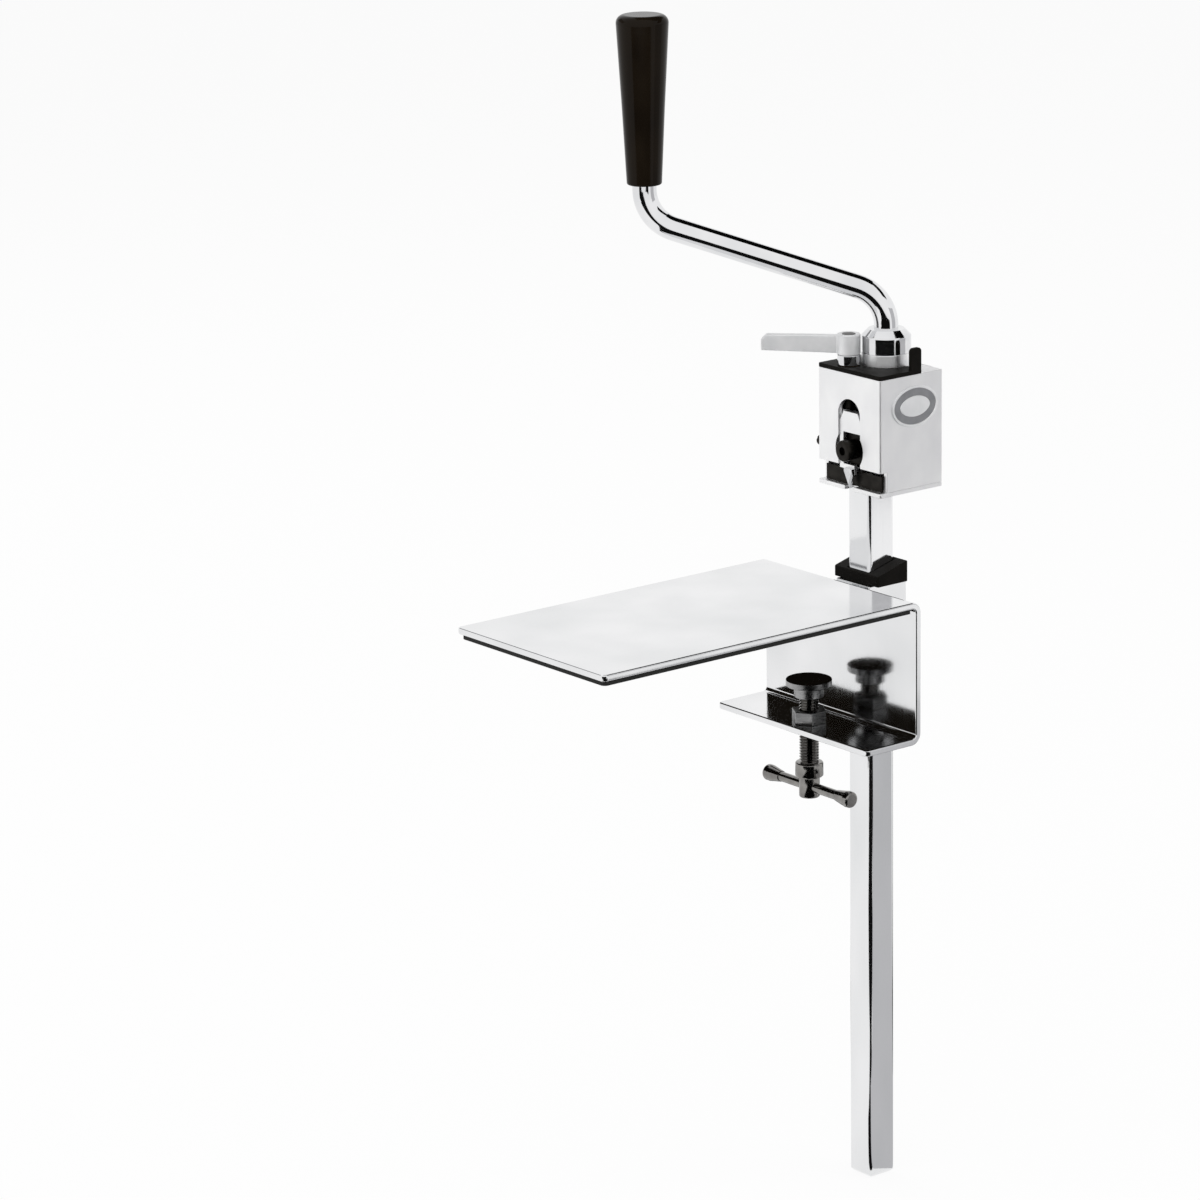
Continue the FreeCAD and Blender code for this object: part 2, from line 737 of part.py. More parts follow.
def make_screws():
    """Cheese-head screws, alike, in the head's right and back faces: one node of separate solids."""
    right, back = screw_places()
    head_deep = s.screw_head_tall.value
    outline = [(0, 0), (s.screw_head_radius.value, 0), (s.screw_head_radius.value, head_deep),
               (s.small_screw_radius.value, head_deep),
               (s.small_screw_radius.value, s.screw_length.value), (0, s.screw_length.value), (0, 0)]
    wire = Part.makePolygon([FreeCAD.Vector(across, 0, up) for across, up in outline])
    one = Part.Face(wire).revolve(FreeCAD.Vector(), FreeCAD.Vector(0, 0, 1), 360)
    return one, right, back


def make_bush_rings():
    crank = ring_body("crank_bush", s.shaft_radius + s.running_gap, s.shaft_radius + s.bush_wall, s.lid_thick)
    place(crank, across=crank_x, high=lid_bottom)
    lever_long = s.lid_thick + s.plate_black_thick
    lever = ring_body("lever_bush", s.lever_shaft_radius + s.running_gap,
                      s.lever_shaft_radius + s.bush_wall, lever_long)
    place(lever, across=lever_x, deep=s.lever_aside, high=lid_bottom)
    washer = ring_body("thrust_washer", s.shaft_radius + s.face_gap, s.washer_radius, s.washer_thick)
    place(washer, across=crank_x, high=head_top)
    front_left = wheel_back + s.face_gap
    front_right = crank_x - gear_outer - s.feed_hub_length - s.face_gap
    front = ring_body("front_bearing", s.feed_radius + s.running_gap, s.feed_radius + s.bush_wall,
                      front_right - front_left)
    place(front, across=front_left, high=feed_height, axis=(0, 1, 0), angle=90.0)
    rear = ring_body("rear_bearing", s.feed_radius + s.running_gap, s.feed_radius + s.bush_wall,
                     s.rear_post_thick)
    place(rear, across=inside_right - s.rear_post_thick, high=feed_height, axis=(0, 1, 0), angle=90.0)


def bevel_gear(name, bore, hub_length):
    """A straight bevel gear whose cone comes to a point at the body's origin, with its axis along Z."""
    body = new_body(name)
    module = 2 * s.gear_radius / s.gear_teeth
    addendum = share.gear_addendum * module
    dedendum = share.gear_dedendum * module
    tip_tan = (gear_cone + addendum) / (gear_cone - addendum)
    root_tan = (gear_cone - dedendum) / (gear_cone + dedendum)
    root = gear_outer * root_tan
    inner_root = gear_inner * root_tan
    blank = new_sketch(body, "XZ", name + "_blank")
    back = gear_outer + hub_length
    draw_outline(blank, [
        (bore, gear_inner), (inner_root, gear_inner), (root, gear_outer),
        (s.gear_hub_radius, gear_outer), (s.gear_hub_radius, back), (bore, back)])
    add_turning(body, blank)
    pitch_half = math.pi * module / 4 - s.gear_backlash / 2
    tooth = [
        (root - share.gear_tooth_sink * module, pitch_half * share.gear_tooth_root),
        (s.gear_radius, pitch_half),
        (gear_outer * tip_tan, pitch_half * share.gear_tooth_tip)]
    sections = []
    for tag, height, scale in (("outer", gear_outer, Size(1.0)), ("inner", gear_inner, gear_shrink)):
        sketch = new_sketch(body, "XY", f"{name}_tooth_{tag}", height)
        side = [(radius * scale, half * scale) for radius, half in tooth]
        draw_outline(sketch, side + [(radius, -half) for radius, half in reversed(side)])
        sections.append(sketch)
    loft = body.newObject("PartDesign::AdditiveLoft", name + "_tooth")
    loft.Profile = sections[0]
    loft.Sections = [sections[1]]
    loft.Ruled = True
    doc.recompute()
    ring = body.newObject("PartDesign::PolarPattern", name + "_teeth")
    ring.Originals = [loft]
    ring.Axis = (sections[0], ["N_Axis"])
    bind(ring, "Occurrences", s.gear_teeth)
    body.Tip = ring
    doc.recompute()
    return body


def make_crank():
    gear = bevel_gear("crank_gear", s.shaft_radius, s.gear_hub_length)
    place(gear, across=crank_x, high=feed_height)
    shaft_low = feed_height + gear_inner
    shaft_high = flange_top + s.hub_thick / 2
    shaft = turned_body("crank_shaft", [
        (ZERO, shaft_low), (s.shaft_radius, shaft_low), (s.shaft_radius, shaft_high), (ZERO, shaft_high)])
    place(shaft, across=crank_x)
    flange = turned_body("crank_flange", [
        (s.shaft_radius, flange_bottom), (s.flange_radius, flange_bottom),
        (s.flange_radius, flange_top), (s.shaft_radius, flange_top)])
    soften(flange, "Fillet", s.fine_round, lambda edge: lies_at(edge, z=flange_top)
           and edge.BoundBox.XLength > s.flange_radius.value)
    place(flange, across=crank_x)
    crown_low = hub_top - s.hub_crown
    hub = turned_body("crank_hub", [
        (s.shaft_radius, flange_top), (s.flange_radius, flange_top), (s.flange_radius, crown_low),
        (s.hub_top_radius, hub_top), (s.rod_radius, hub_top), (s.rod_radius, shaft_high),
        (s.shaft_radius, shaft_high)])
    soften(hub, "Fillet", s.head_round, lambda edge: lies_at(edge, z=crown_low))
    place(hub, across=crank_x)
    make_rod(shaft_high)


def make_rod(rod_low):
    """The bent rod: up out of the hub, out and up to the grip, and up again, in its own XZ plane."""
    body = new_body("crank_rod")
    low_corner = hub_top + s.rod_rise
    high_corner = low_corner + s.arm_climb
    slope = angle_of(s.arm_climb, s.arm_throw)
    trim = s.rod_bend * turned(math.tan, "tan", (90.0 - slope) / 2)
    out = turned(math.cos, "cos", slope) * trim
    rise = turned(math.sin, "sin", slope) * trim
    corners = [
        (ZERO, rod_low), (ZERO, low_corner - trim), (out, low_corner + rise),
        (s.arm_throw - out, high_corner - rise), (s.arm_throw, high_corner + trim),
        (s.arm_throw, high_corner + s.grip_gap - s.slide_gap)]
    centres = [(s.rod_bend, low_corner - trim), (s.arm_throw - s.rod_bend, high_corner + trim)]
    path = new_sketch(body, "XZ", "rod_path")
    points = [FreeCAD.Vector(across.value, up.value, 0) for across, up in corners]
    for start in (0, 2, 4):
        path.addGeometry(Part.LineSegment(points[start], points[start + 1]))
    for index, (across, up) in enumerate(corners):
        pin_point(path, index // 2, 1 + index % 2, across, up)
    leans = [math.radians(135.0 + slope.value / 2), -math.radians(45.0 - slope.value / 2)]
    for index, ((across, up), lean) in enumerate(zip(centres, leans)):
        centre = FreeCAD.Vector(across.value, up.value, 0)
        middle = centre + FreeCAD.Vector(math.cos(lean), math.sin(lean), 0) * s.rod_bend.value
        arc = path.addGeometry(Part.Arc(points[2 * index + 1], middle, points[2 * index + 2]))
        first, last = (2, 1) if index == 0 else (1, 2)
        path.addConstraint(Sketcher.Constraint("Coincident", arc, first, index, 2))
        path.addConstraint(Sketcher.Constraint("Coincident", arc, last, index + 1, 1))
        held = path.addConstraint(Sketcher.Constraint("Radius", arc, s.rod_bend.value))
        bind(path, f"Constraints[{held}]", s.rod_bend)
    section = new_sketch(body, "XY", "rod_section", rod_low)
    draw_circle(section, ZERO, ZERO, s.rod_radius)
    pipe = body.newObject("PartDesign::AdditivePipe", "rod_pipe")
    pipe.Profile = section
    pipe.Spine = path
    doc.recompute()
    place(body, across=crank_x, angle=s.arm_angle.value)
    bind(body, "Placement.Rotation.Angle", s.arm_angle)
    make_grip(high_corner + s.grip_gap)


def make_grip(grip_low):
    grip_x = crank_x + s.arm_throw * turned(math.cos, "cos", s.arm_angle)
    grip_y = s.arm_throw * turned(math.sin, "sin", s.arm_angle)
    body_top = s.grip_length - s.cap_height
    bore_top = body_top - s.clip_deep
    widening = s.grip_high_radius - s.grip_low_radius
    rim = s.grip_low_radius + widening * body_top / s.grip_length
    waist = s.grip_low_radius + widening * share.grip_waist
    bore = s.spindle_radius + s.running_gap
    well = s.clip_well
    grip = turned_body("grip", [
        (bore, ZERO), (s.grip_low_radius, ZERO), (waist, body_top * share.grip_waist_high), (rim, body_top),
        (well, body_top), (well, bore_top), (bore, bore_top)])
    soften(grip, "Fillet", s.head_round, lambda edge: lies_at(edge, z=ZERO)
           and edge.BoundBox.XLength > s.grip_low_radius.value * 2 - TOUCH)
    place(grip, across=grip_x, deep=grip_y, high=grip_low)
    cap = turned_body("grip_cap", [
        (ZERO, body_top), (rim, body_top), (s.grip_high_radius, s.grip_length), (ZERO, s.grip_length)])
    soften(cap, "Fillet", s.grip_round, lambda edge: lies_at(edge, z=s.grip_length))
    place(cap, across=grip_x, deep=grip_y, high=grip_low)
    spindle_top = bore_top + s.spindle_end
    spindle = turned_body("grip_spindle", [
        (ZERO, -s.slide_gap), (s.spindle_radius, -s.slide_gap),
        (s.spindle_radius, spindle_top), (ZERO, spindle_top)])
    place(spindle, across=grip_x, deep=grip_y, high=grip_low)
    clip = ring_body("spindle_clip", s.spindle_radius, s.spindle_radius + s.clip_wall, s.clip_thick)
    place(clip, across=grip_x, deep=grip_y, high=grip_low + bore_top + s.slide_gap)


def make_feed():
    gear = bevel_gear("feed_gear", s.feed_radius, s.feed_hub_length)
    half_tooth = 180.0 / s.gear_teeth.value
    turn = FreeCAD.Rotation(FreeCAD.Vector(0, 1, 0), -90.0)
    turn = turn.multiply(FreeCAD.Rotation(FreeCAD.Vector(0, 0, 1), half_tooth))
    place(gear, across=crank_x, high=feed_height)
    gear.Placement = FreeCAD.Placement(gear.Placement.Base, turn)
    front = wheel_boss_front
    shaft = turned_body("feed_shaft", [
        (ZERO, front), (s.wheel_seat, front), (s.wheel_seat, wheel_back), (s.feed_radius, wheel_back),
        (s.feed_radius, inside_right - s.slide_gap), (ZERO, inside_right - s.slide_gap)])
    place(shaft, high=feed_height, axis=(0, 1, 0), angle=90.0)
    wheel = new_body("feed_wheel")
    disc = new_sketch(wheel, "XY", "wheel_disc")
    draw_circle(disc, ZERO, ZERO, s.wheel_radius)
    draw_circle(disc, ZERO, ZERO, s.wheel_seat)
    add_pad(wheel, disc, s.wheel_thick, backwards=True)
    boss = new_sketch(wheel, "XY", "wheel_boss")
    draw_circle(boss, ZERO, ZERO, s.wheel_boss_radius)
    draw_circle(boss, ZERO, ZERO, s.wheel_seat)
    add_pad(wheel, boss, wheel_back - wheel_boss_front, backwards=True)
    tooth_half = math.pi * s.wheel_radius / s.wheel_teeth * share.wheel_tooth_root
    tip_half = tooth_half * share.wheel_tooth_tip
    sketch = new_sketch(wheel, "XY", "wheel_tooth")
    low = s.wheel_radius - s.wheel_tooth
    high = s.wheel_radius + s.wheel_tooth
    draw_outline(sketch, [(low, -tooth_half), (high, -tip_half), (high, tip_half), (low, tooth_half)])
    tooth = add_pad(wheel, sketch, s.wheel_thick, backwards=True)
    ring = wheel.newObject("PartDesign::PolarPattern", "wheel_teeth")
    ring.Originals = [tooth]
    ring.Axis = (sketch, ["N_Axis"])
    bind(ring, "Occurrences", s.wheel_teeth)
    wheel.Tip = ring
    doc.recompute()
    place(wheel, across=wheel_back, high=feed_height, axis=(0, 1, 0), angle=90.0)
    head = front - s.wheel_screw_head
    screw = turned_body("wheel_screw", [
        (ZERO, head), (s.wheel_screw_radius, head), (s.wheel_screw_radius, front), (ZERO, front)])
    soften(screw, "Fillet", s.head_round, lambda edge: lies_at(edge, z=head))
    place(screw, high=feed_height, axis=(0, 1, 0), angle=90.0)


def make_knife():
    """The knife and its carrier: a plate that passes the wheel's boss on one side, and a slider behind it."""
    half = s.slot_width / 2 - s.slide_gap
    window_half = s.wheel_boss_radius + s.face_gap
    top = s.head_height + s.carrier_top
    bottom = s.head_height + s.carrier_bottom
    window_low = feed_height - s.wheel_boss_radius - s.knife_travel - s.face_gap
    window_high = feed_height + s.wheel_radius
    carrier = new_body("knife_carrier")
    front = head_left + s.carrier_setback
    plate = new_sketch(carrier, "YZ", "carrier_plate", front)
    tongue = s.knife_width / 2
    bar_low = window_low - s.carrier_bar
    crown = s.carrier_crown / 2
    shoulder = top - s.carrier_crown / 2
    draw_outline(plate, [
        (tongue, bottom), (tongue, bar_low), (half, bar_low), (half, shoulder), (crown, top), (-crown, top),
        (-half, shoulder), (-half, window_high), (window_half, window_high), (window_half, window_low),
        (-tongue, window_low), (-tongue, bottom)])
    add_pad(carrier, plate, s.carrier_thick)
    slider = new_sketch(carrier, "YZ", "carrier_slider", front + s.carrier_thick)
    draw_rectangle(slider, -s.slider_width / 2, s.slider_width / 2, top - s.slider_tall, top)
    add_pad(carrier, slider, s.slider_thick)
    place(carrier)
    knife = new_body("knife")
    blade = new_sketch(knife, "YZ", "knife_face", front)
    tip = s.head_height + s.knife_tip
    knife_high = s.head_height + s.knife_top
    draw_outline(blade, [(-tongue, bottom), (-s.knife_point, tip), (tongue, bottom),
                         (tongue, knife_high), (-tongue, knife_high)])
    add_pad(knife, blade, s.knife_thick, backwards=True)
    knife_front = front - s.knife_thick
    soften(knife, "Chamfer", s.knife_bevel, lambda edge: lies_at(edge, x=knife_front)
           and edge.BoundBox.ZMin < tip.value + TOUCH)
    place(knife)
    pin_high = s.head_height + s.carrier_top - s.slider_tall / 2
    pin_back = front + s.carrier_thick + s.slider_thick
    pin_end = lever_x - s.lever_shaft_radius + s.groove_deep - s.slide_gap
    pin = turned_body("follower_pin", [
        (ZERO, pin_back), (s.pin_radius, pin_back), (s.pin_radius, pin_end), (ZERO, pin_end)])
    place(pin, deep=s.lever_aside, high=pin_high, axis=(0, 1, 0), angle=90.0)
    make_lever(pin_high)


def make_lever(pin_high):
    boss_low = black_top + s.face_gap
    arm_low = boss_low + s.lever_raise
    arm_top = arm_low + s.lever_tall
    shaft_low = pin_high - s.slider_tall / 2
    lead = s.knife_travel * 360.0 / s.lever_swing
    over = s.groove_runout.value
    span = s.lever_swing.value + 2 * over
    height = lead.value * span / 360.0
    shaft_shape = Part.makeCylinder(s.lever_shaft_radius.value, (arm_top - shaft_low).value,
                                    FreeCAD.Vector(0, 0, shaft_low.value))
    spine = Part.makeHelix(lead.value, height, s.lever_shaft_radius.value, 0, True)
    inner = (s.lever_shaft_radius - s.groove_deep).value
    outer = (s.lever_shaft_radius + s.cut_over).value
    half = (s.pin_radius + s.face_gap).value / math.cos(math.atan(lead.value / (2 * math.pi * inner)))
    corners = [(inner, -half), (outer, -half), (outer, half), (inner, half), (inner, -half)]
    wire = Part.makePolygon([FreeCAD.Vector(across, 0, up) for across, up in corners])
    groove = Part.Wire(spine.Edges).makePipeShell([wire], True, True)
    groove.rotate(FreeCAD.Vector(), FreeCAD.Vector(0, 0, 1), 180.0 + over)
    groove.translate(FreeCAD.Vector(0, 0, pin_high.value - lead.value * over / 360.0))
    shaft = doc.addObject("Part::Feature", "lever_shaft")
    shaft.Label = "lever_shaft"
    shaft.Shape = shaft_shape.cut(groove)
    shaft_spot = FreeCAD.Vector(lever_x.value, s.lever_aside.value, 0)
    shaft.Placement = FreeCAD.Placement(shaft_spot, FreeCAD.Rotation())
    boss = ring_body("lever_boss", s.lever_shaft_radius, s.lever_boss_radius, s.lever_raise)
    place(boss, across=lever_x, deep=s.lever_aside, high=boss_low)
    arm = new_body("lever_arm")
    side = new_sketch(arm, "XZ", "lever_side")
    tip_low = arm_low + (s.lever_tall - s.lever_tip_tall) / 2
    tip_high = tip_low + s.lever_tip_tall
    draw_outline(side, [
        (ZERO, arm_low + s.lever_step), (s.lever_reach, tip_low), (s.lever_reach, tip_high - s.lever_bevel),
        (s.lever_reach - s.lever_bevel, tip_high), (ZERO, arm_top - s.lever_step)])
    add_pad(arm, side, s.lever_thick, both_ways=True)
    eye = new_sketch(arm, "XY", "lever_eye", arm_low)
    draw_circle(eye, ZERO, ZERO, s.lever_boss_radius)
    add_pad(arm, eye, s.lever_tall)
    bore = new_sketch(arm, "XY", "lever_bore", arm_low)
    draw_circle(bore, ZERO, ZERO, s.lever_shaft_radius)
    add_pocket(arm, bore, s.lever_tall, backwards=True)
    soften(arm, "Fillet", s.fine_round, lambda edge: lies_at(edge, z=arm_top)
           and edge.BoundBox.XLength > s.lever_boss_radius.value * 2 - TOUCH)
    place(arm, across=lever_x, deep=s.lever_aside, angle=s.lever_angle.value)
    bind(arm, "Placement.Rotation.Angle", s.lever_angle)


def place_screws():
    one, right, back = make_screws()
    solids = []
    for spots, axis, angle in ((right, (0, 1, 0), -90.0), (back, (1, 0, 0), 90.0)):
        for across, deep, high in spots:
            spot = FreeCAD.Vector(across.value, deep.value, high.value)
            turn = FreeCAD.Rotation(FreeCAD.Vector(*axis), angle)
            copy = one.copy()
            copy.Placement = FreeCAD.Placement(spot, turn)
            solids.append(copy)
    screws = doc.addObject("Part::Feature", "head_screws")
    screws.Label = "head_screws"
    screws.Shape = Part.makeCompound(solids)
    screws.Placement = FreeCAD.Placement()


def main():
    make_rubber_pad()
    make_base_frame()
    make_clamp_nut()
    make_pressure_foot()
    make_clamp_screw()
    make_tommy_bar()
    make_guide()
    make_bushes()
    make_mast()
    make_head_base()
    make_head_housing()
    make_lid()
    make_bush_rings()
    make_crank()
    make_feed()
    make_knife()
    place_screws()
    doc.recompute()
    for thing in doc.Objects:
        if {"Invalid", "Error"} & set(thing.State):
            raise RuntimeError(f"{thing.Label} failed: {thing.State}")
    pieces = [thing for thing in doc.Objects if thing.TypeId in ("PartDesign::Body", "Part::Feature")]
    for piece in pieces:
        if piece.Shape.isNull() or not piece.Shape.isValid():
            raise RuntimeError(f"{piece.Label} has no valid shape")
        piece.Shape.exportStep(f"parts/{piece.Label}.step")
        print(piece.Label, round(piece.Shape.Volume / 1000.0, 2), "cm3")


main()
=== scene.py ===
import math

import bpy
from mathutils import Matrix, Vector


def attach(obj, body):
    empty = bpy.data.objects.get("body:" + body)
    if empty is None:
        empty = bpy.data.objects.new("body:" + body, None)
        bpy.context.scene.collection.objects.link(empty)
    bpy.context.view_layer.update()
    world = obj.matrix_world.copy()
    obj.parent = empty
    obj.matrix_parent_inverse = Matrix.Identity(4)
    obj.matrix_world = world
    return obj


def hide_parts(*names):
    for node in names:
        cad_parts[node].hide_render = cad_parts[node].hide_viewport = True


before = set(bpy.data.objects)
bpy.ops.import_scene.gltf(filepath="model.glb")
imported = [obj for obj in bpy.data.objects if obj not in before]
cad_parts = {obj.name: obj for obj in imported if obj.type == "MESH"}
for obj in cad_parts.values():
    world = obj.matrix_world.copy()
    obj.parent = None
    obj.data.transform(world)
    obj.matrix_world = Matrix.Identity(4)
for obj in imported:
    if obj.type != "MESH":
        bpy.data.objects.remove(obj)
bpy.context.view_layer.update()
mm = 0.001
print("frame loaded:", len(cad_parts), "nodes")


def newObject(name, data):
    thing = bpy.data.objects.new(name, data)
    bpy.context.scene.collection.objects.link(thing)
    return thing


def turned(degrees, axis):
    return Matrix.Rotation(math.radians(degrees), 4, axis)


# camera, placed as the photograph was taken: a long lens, looking a little down; metres and degrees
cameraSetup = {
    "place": (-1.8753, -2.1844, 0.7834), "turn": 38.162, "down": 15.216, "tilt": -0.949,
    "lens": 149.4, "sensor": 36.0, "farClip": 40.0,
}


def addCamera(setup):
    data = bpy.data.cameras.new("photoCamera")
    data.sensor_width = setup["sensor"]
    data.lens = setup["lens"]
    data.clip_end = setup["farClip"]
    camera = newObject("photoCamera", data)
    turn = turned(-setup["turn"], "Z") @ turned(90.0 - setup["down"], "X") @ turned(setup["tilt"], "Z")
    camera.matrix_world = Matrix.Translation(Vector(setup["place"])) @ turn
    bpy.context.scene.camera = camera


addCamera(cameraSetup)
bpy.context.scene.view_settings.view_transform = "Standard"
print("camera set")


# colours and nodes
def linear(hexValue):
    parts = [int(hexValue[at:at + 2], 16) / 255 for at in (1, 3, 5)]
    parts = [part / 12.92 if part <= 0.04045 else ((part + 0.055) / 1.055) ** 2.4 for part in parts]
    return (*parts, 1.0)


def addNode(tree, kind, settings=None, inputs=None):
    node = tree.nodes.new(kind)
    for name, value in (settings or {}).items():
        setattr(node, name, value)
    for name, value in (inputs or {}).items():
        if isinstance(value, bpy.types.NodeSocket):
            tree.links.new(value, node.inputs[name])
        else:
            node.inputs[name].default_value = value
    return node


def newMaterial(name):
    material = bpy.data.materials.new(name)
    material.use_nodes = True
    material.node_tree.nodes.clear()
    return material, material.node_tree


def closeMaterial(tree, surface):
    addNode(tree, "ShaderNodeOutputMaterial", inputs={"Surface": surface})


# noise crowds round its middle, so its tails are cut where it sets a gloss or a colour
noiseShape = {"roughness": 0.55, "glossFrom": 0.3, "glossTo": 0.7, "colourFrom": 0.32, "colourTo": 0.68}


# noise whose blotches are size mm long along x, y and z of the object, which is in metres
def grain(tree, size, turn=(0.0, 0.0, 0.0), detail=3.0):
    place = addNode(tree, "ShaderNodeTexCoord").outputs["Object"]
    straight = addNode(tree, "ShaderNodeMapping", inputs={"Vector": place, "Rotation": turn})
    scaled = addNode(tree, "ShaderNodeMapping", inputs={
        "Vector": straight.outputs["Vector"], "Scale": [1000.0 / length for length in size]})
    noise = addNode(tree, "ShaderNodeTexNoise", inputs={
        "Vector": scaled.outputs["Vector"], "Scale": 1.0, "Detail": detail,
        "Roughness": noiseShape["roughness"]})
    return noise.outputs["Fac"]


def spread(tree, value, low, high):
    node = addNode(tree, "ShaderNodeMapRange", inputs={
        "Value": value, "From Min": noiseShape["glossFrom"], "From Max": noiseShape["glossTo"],
        "To Min": low, "To Max": high})
    return node.outputs["Result"]


def blendColours(tree, value, first, second):
    ramp = addNode(tree, "ShaderNodeValToRGB", inputs={"Fac": value})
    ends = ((noiseShape["colourFrom"], first), (noiseShape["colourTo"], second))
    for element, (position, colour) in zip(ramp.color_ramp.elements, ends):
        element.position = position
        element.color = linear(colour)
    return ramp.outputs["Color"]


# a metal whose gloss and relief follow a fine grain, and whose tone follows a cloudy one
def makeMetal(name, look):
    material, tree = newMaterial(name)
    fine = grain(tree, look["fineGrain"], look.get("turn", (0.0, 0.0, 0.0)))
    cloud = grain(tree, look["cloud"], detail=2.0)
    tone = blendColours(tree, cloud, look["dark"], look["light"])
    shade = addNode(tree, "ShaderNodeBsdfPrincipled", inputs={
        "Base Color": tone, "Metallic": look.get("metallic", 1.0),
        "Roughness": spread(tree, fine, *look["rough"])})
    bump = addNode(tree, "ShaderNodeBump", inputs={
        "Strength": look["strength"], "Distance": look["relief"] * mm, "Height": fine})
    tree.links.new(bump.outputs["Normal"], shade.inputs["Normal"])
    closeMaterial(tree, shade.outputs["BSDF"])
    return material


# moulded plastic, rubber or enamel: a fine skin, and slight cloudiness in tone and gloss
def makePlastic(name, look):
    material, tree = newMaterial(name)
    skin = grain(tree, look["skin"], detail=2.0)
    cloud = grain(tree, look["cloud"], detail=2.0)
    shade = addNode(tree, "ShaderNodeBsdfPrincipled", inputs={
        "Base Color": blendColours(tree, cloud, look["dark"], look["light"]),
        "IOR": look["ior"], "Specular IOR Level": look["sheen"],
        "Roughness": spread(tree, cloud, *look["rough"])})
    bump = addNode(tree, "ShaderNodeBump", inputs={
        "Strength": look["strength"], "Distance": look["relief"] * mm, "Height": skin})
    tree.links.new(bump.outputs["Normal"], shade.inputs["Normal"])
    closeMaterial(tree, shade.outputs["BSDF"])
    return material


# stainless bar, polished along its length: mirror-like, with hair lines running up it
polishedBar = makeMetal("polishedStainlessBar", {
    "dark": "#e2e3e4", "light": "#eeeeef", "fineGrain": (0.4, 0.4, 60.0), "cloud": (40.0, 40.0, 120.0),
    "rough": (0.06, 0.13), "relief": 0.004, "strength": 0.25})
# stainless sheet, mirror-polished after folding: clear reflections, faint haze from the buffing wheel
polishedSheet = makeMetal("polishedStainlessSheet", {
    "dark": "#dedfe0", "light": "#ebebec", "fineGrain": (30.0, 0.5, 30.0), "cloud": (60.0, 60.0, 60.0),
    "rough": (0.07, 0.15), "relief": 0.003, "strength": 0.25})
# stainless castings of the head, satin from a fine belt drawn upwards: soft, pale, no clear reflections
satinCasting = makeMetal("satinStainlessCasting", {
    "dark": "#f0f0f1", "light": "#f8f8f8", "fineGrain": (0.35, 0.35, 14.0), "cloud": (18.0, 18.0, 30.0),
    "rough": (0.34, 0.46), "relief": 0.01, "strength": 0.35})
# stainless flat bar of the lever, satin from a belt drawn along it, which turns the grain with the arm
satinFlatBar = makeMetal("satinStainlessFlatBar", {
    "dark": "#dedfe0", "light": "#ebebec", "fineGrain": (16.0, 0.35, 0.35), "cloud": (12.0, 12.0, 12.0),
    "turn": (0.0, 0.0, math.radians(-130.5)), "metallic": 0.6, "rough": (0.42, 0.54),
    "relief": 0.01, "strength": 0.35})
# bright chrome plate over ground bar: the sharpest mirror on the opener, slightly wavy under the plate
chromePlate = makeMetal("chromePlatedBar", {
    "dark": "#dcdddf", "light": "#e8e8e9", "fineGrain": (9.0, 9.0, 9.0), "cloud": (25.0, 25.0, 25.0),
    "rough": (0.03, 0.06), "relief": 0.02, "strength": 0.15})
# chrome plate over lathe-turned steel: rings of the tool still show in the reflections
chromeTurned = makeMetal("chromePlatedTurning", {
    "dark": "#dadbdd", "light": "#e6e6e7", "fineGrain": (12.0, 12.0, 0.35), "cloud": (20.0, 20.0, 8.0),
    "rough": (0.05, 0.11), "relief": 0.006, "strength": 0.3})
# plain turned steel, oiled: mid grey with tool rings
turnedSteel = makeMetal("turnedBrightSteel", {
    "dark": "#8f8f90", "light": "#a5a5a5", "fineGrain": (8.0, 8.0, 0.25), "cloud": (9.0, 9.0, 9.0),
    "rough": (0.22, 0.36), "relief": 0.01, "strength": 0.4})
# turned steel of the clamp, a darker grey than the plain turned steel: a deep grey gloss with tool rings
darkTurning = makeMetal("darkTurnedSteel", {
    "dark": "#7c7a78", "light": "#918f8c", "fineGrain": (8.0, 8.0, 0.25), "cloud": (7.0, 7.0, 7.0),
    "rough": (0.08, 0.16), "relief": 0.008, "strength": 0.3})
# hardened tool steel, blacked in oil: almost black, a dull sheen, rubbed paler in clouds
blackedSteel = makeMetal("oilBlackedToolSteel", {
    "dark": "#1d1b19", "light": "#2b2926", "fineGrain": (0.3, 0.3, 0.3), "cloud": (5.0, 5.0, 5.0),
    "rough": (0.3, 0.45), "relief": 0.006, "strength": 0.3})
# ground knife steel: bright flats with the stone's fine lines running down to the point
groundKnife = makeMetal("groundKnifeSteel", {
    "dark": "#cdced0", "light": "#dfdfe0", "fineGrain": (0.25, 0.25, 7.0), "cloud": (6.0, 6.0, 6.0),
    "rough": (0.16, 0.28), "relief": 0.006, "strength": 0.3})
# sintered bronze: dull yellow-brown with open pores
sinteredBronze = makeMetal("sinteredBronze", {
    "dark": "#8a6a3c", "light": "#a5824d", "fineGrain": (0.25, 0.25, 0.25), "cloud": (3.0, 3.0, 3.0),
    "rough": (0.35, 0.55), "relief": 0.03, "strength": 0.5})
# zinc-plated screws: pale blue-grey, a little cloudy
zincPlate = makeMetal("zincPlatedScrew", {
    "dark": "#aeb2b6", "light": "#c3c6c9", "fineGrain": (1.0, 1.0, 1.0), "cloud": (2.0, 2.0, 2.0),
    "rough": (0.2, 0.34), "relief": 0.004, "strength": 0.2})
# phenolic grip, compression moulded and buffed: near black with a brown cast, wet gloss
blackPhenolic = makePlastic("buffedBlackPhenolic", {
    "dark": "#140f0a", "light": "#1a140d", "skin": (0.9, 0.9, 6.0), "cloud": (14.0, 14.0, 30.0),
    "ior": 1.5, "sheen": 0.08, "rough": (0.10, 0.17), "relief": 0.004, "strength": 0.2})
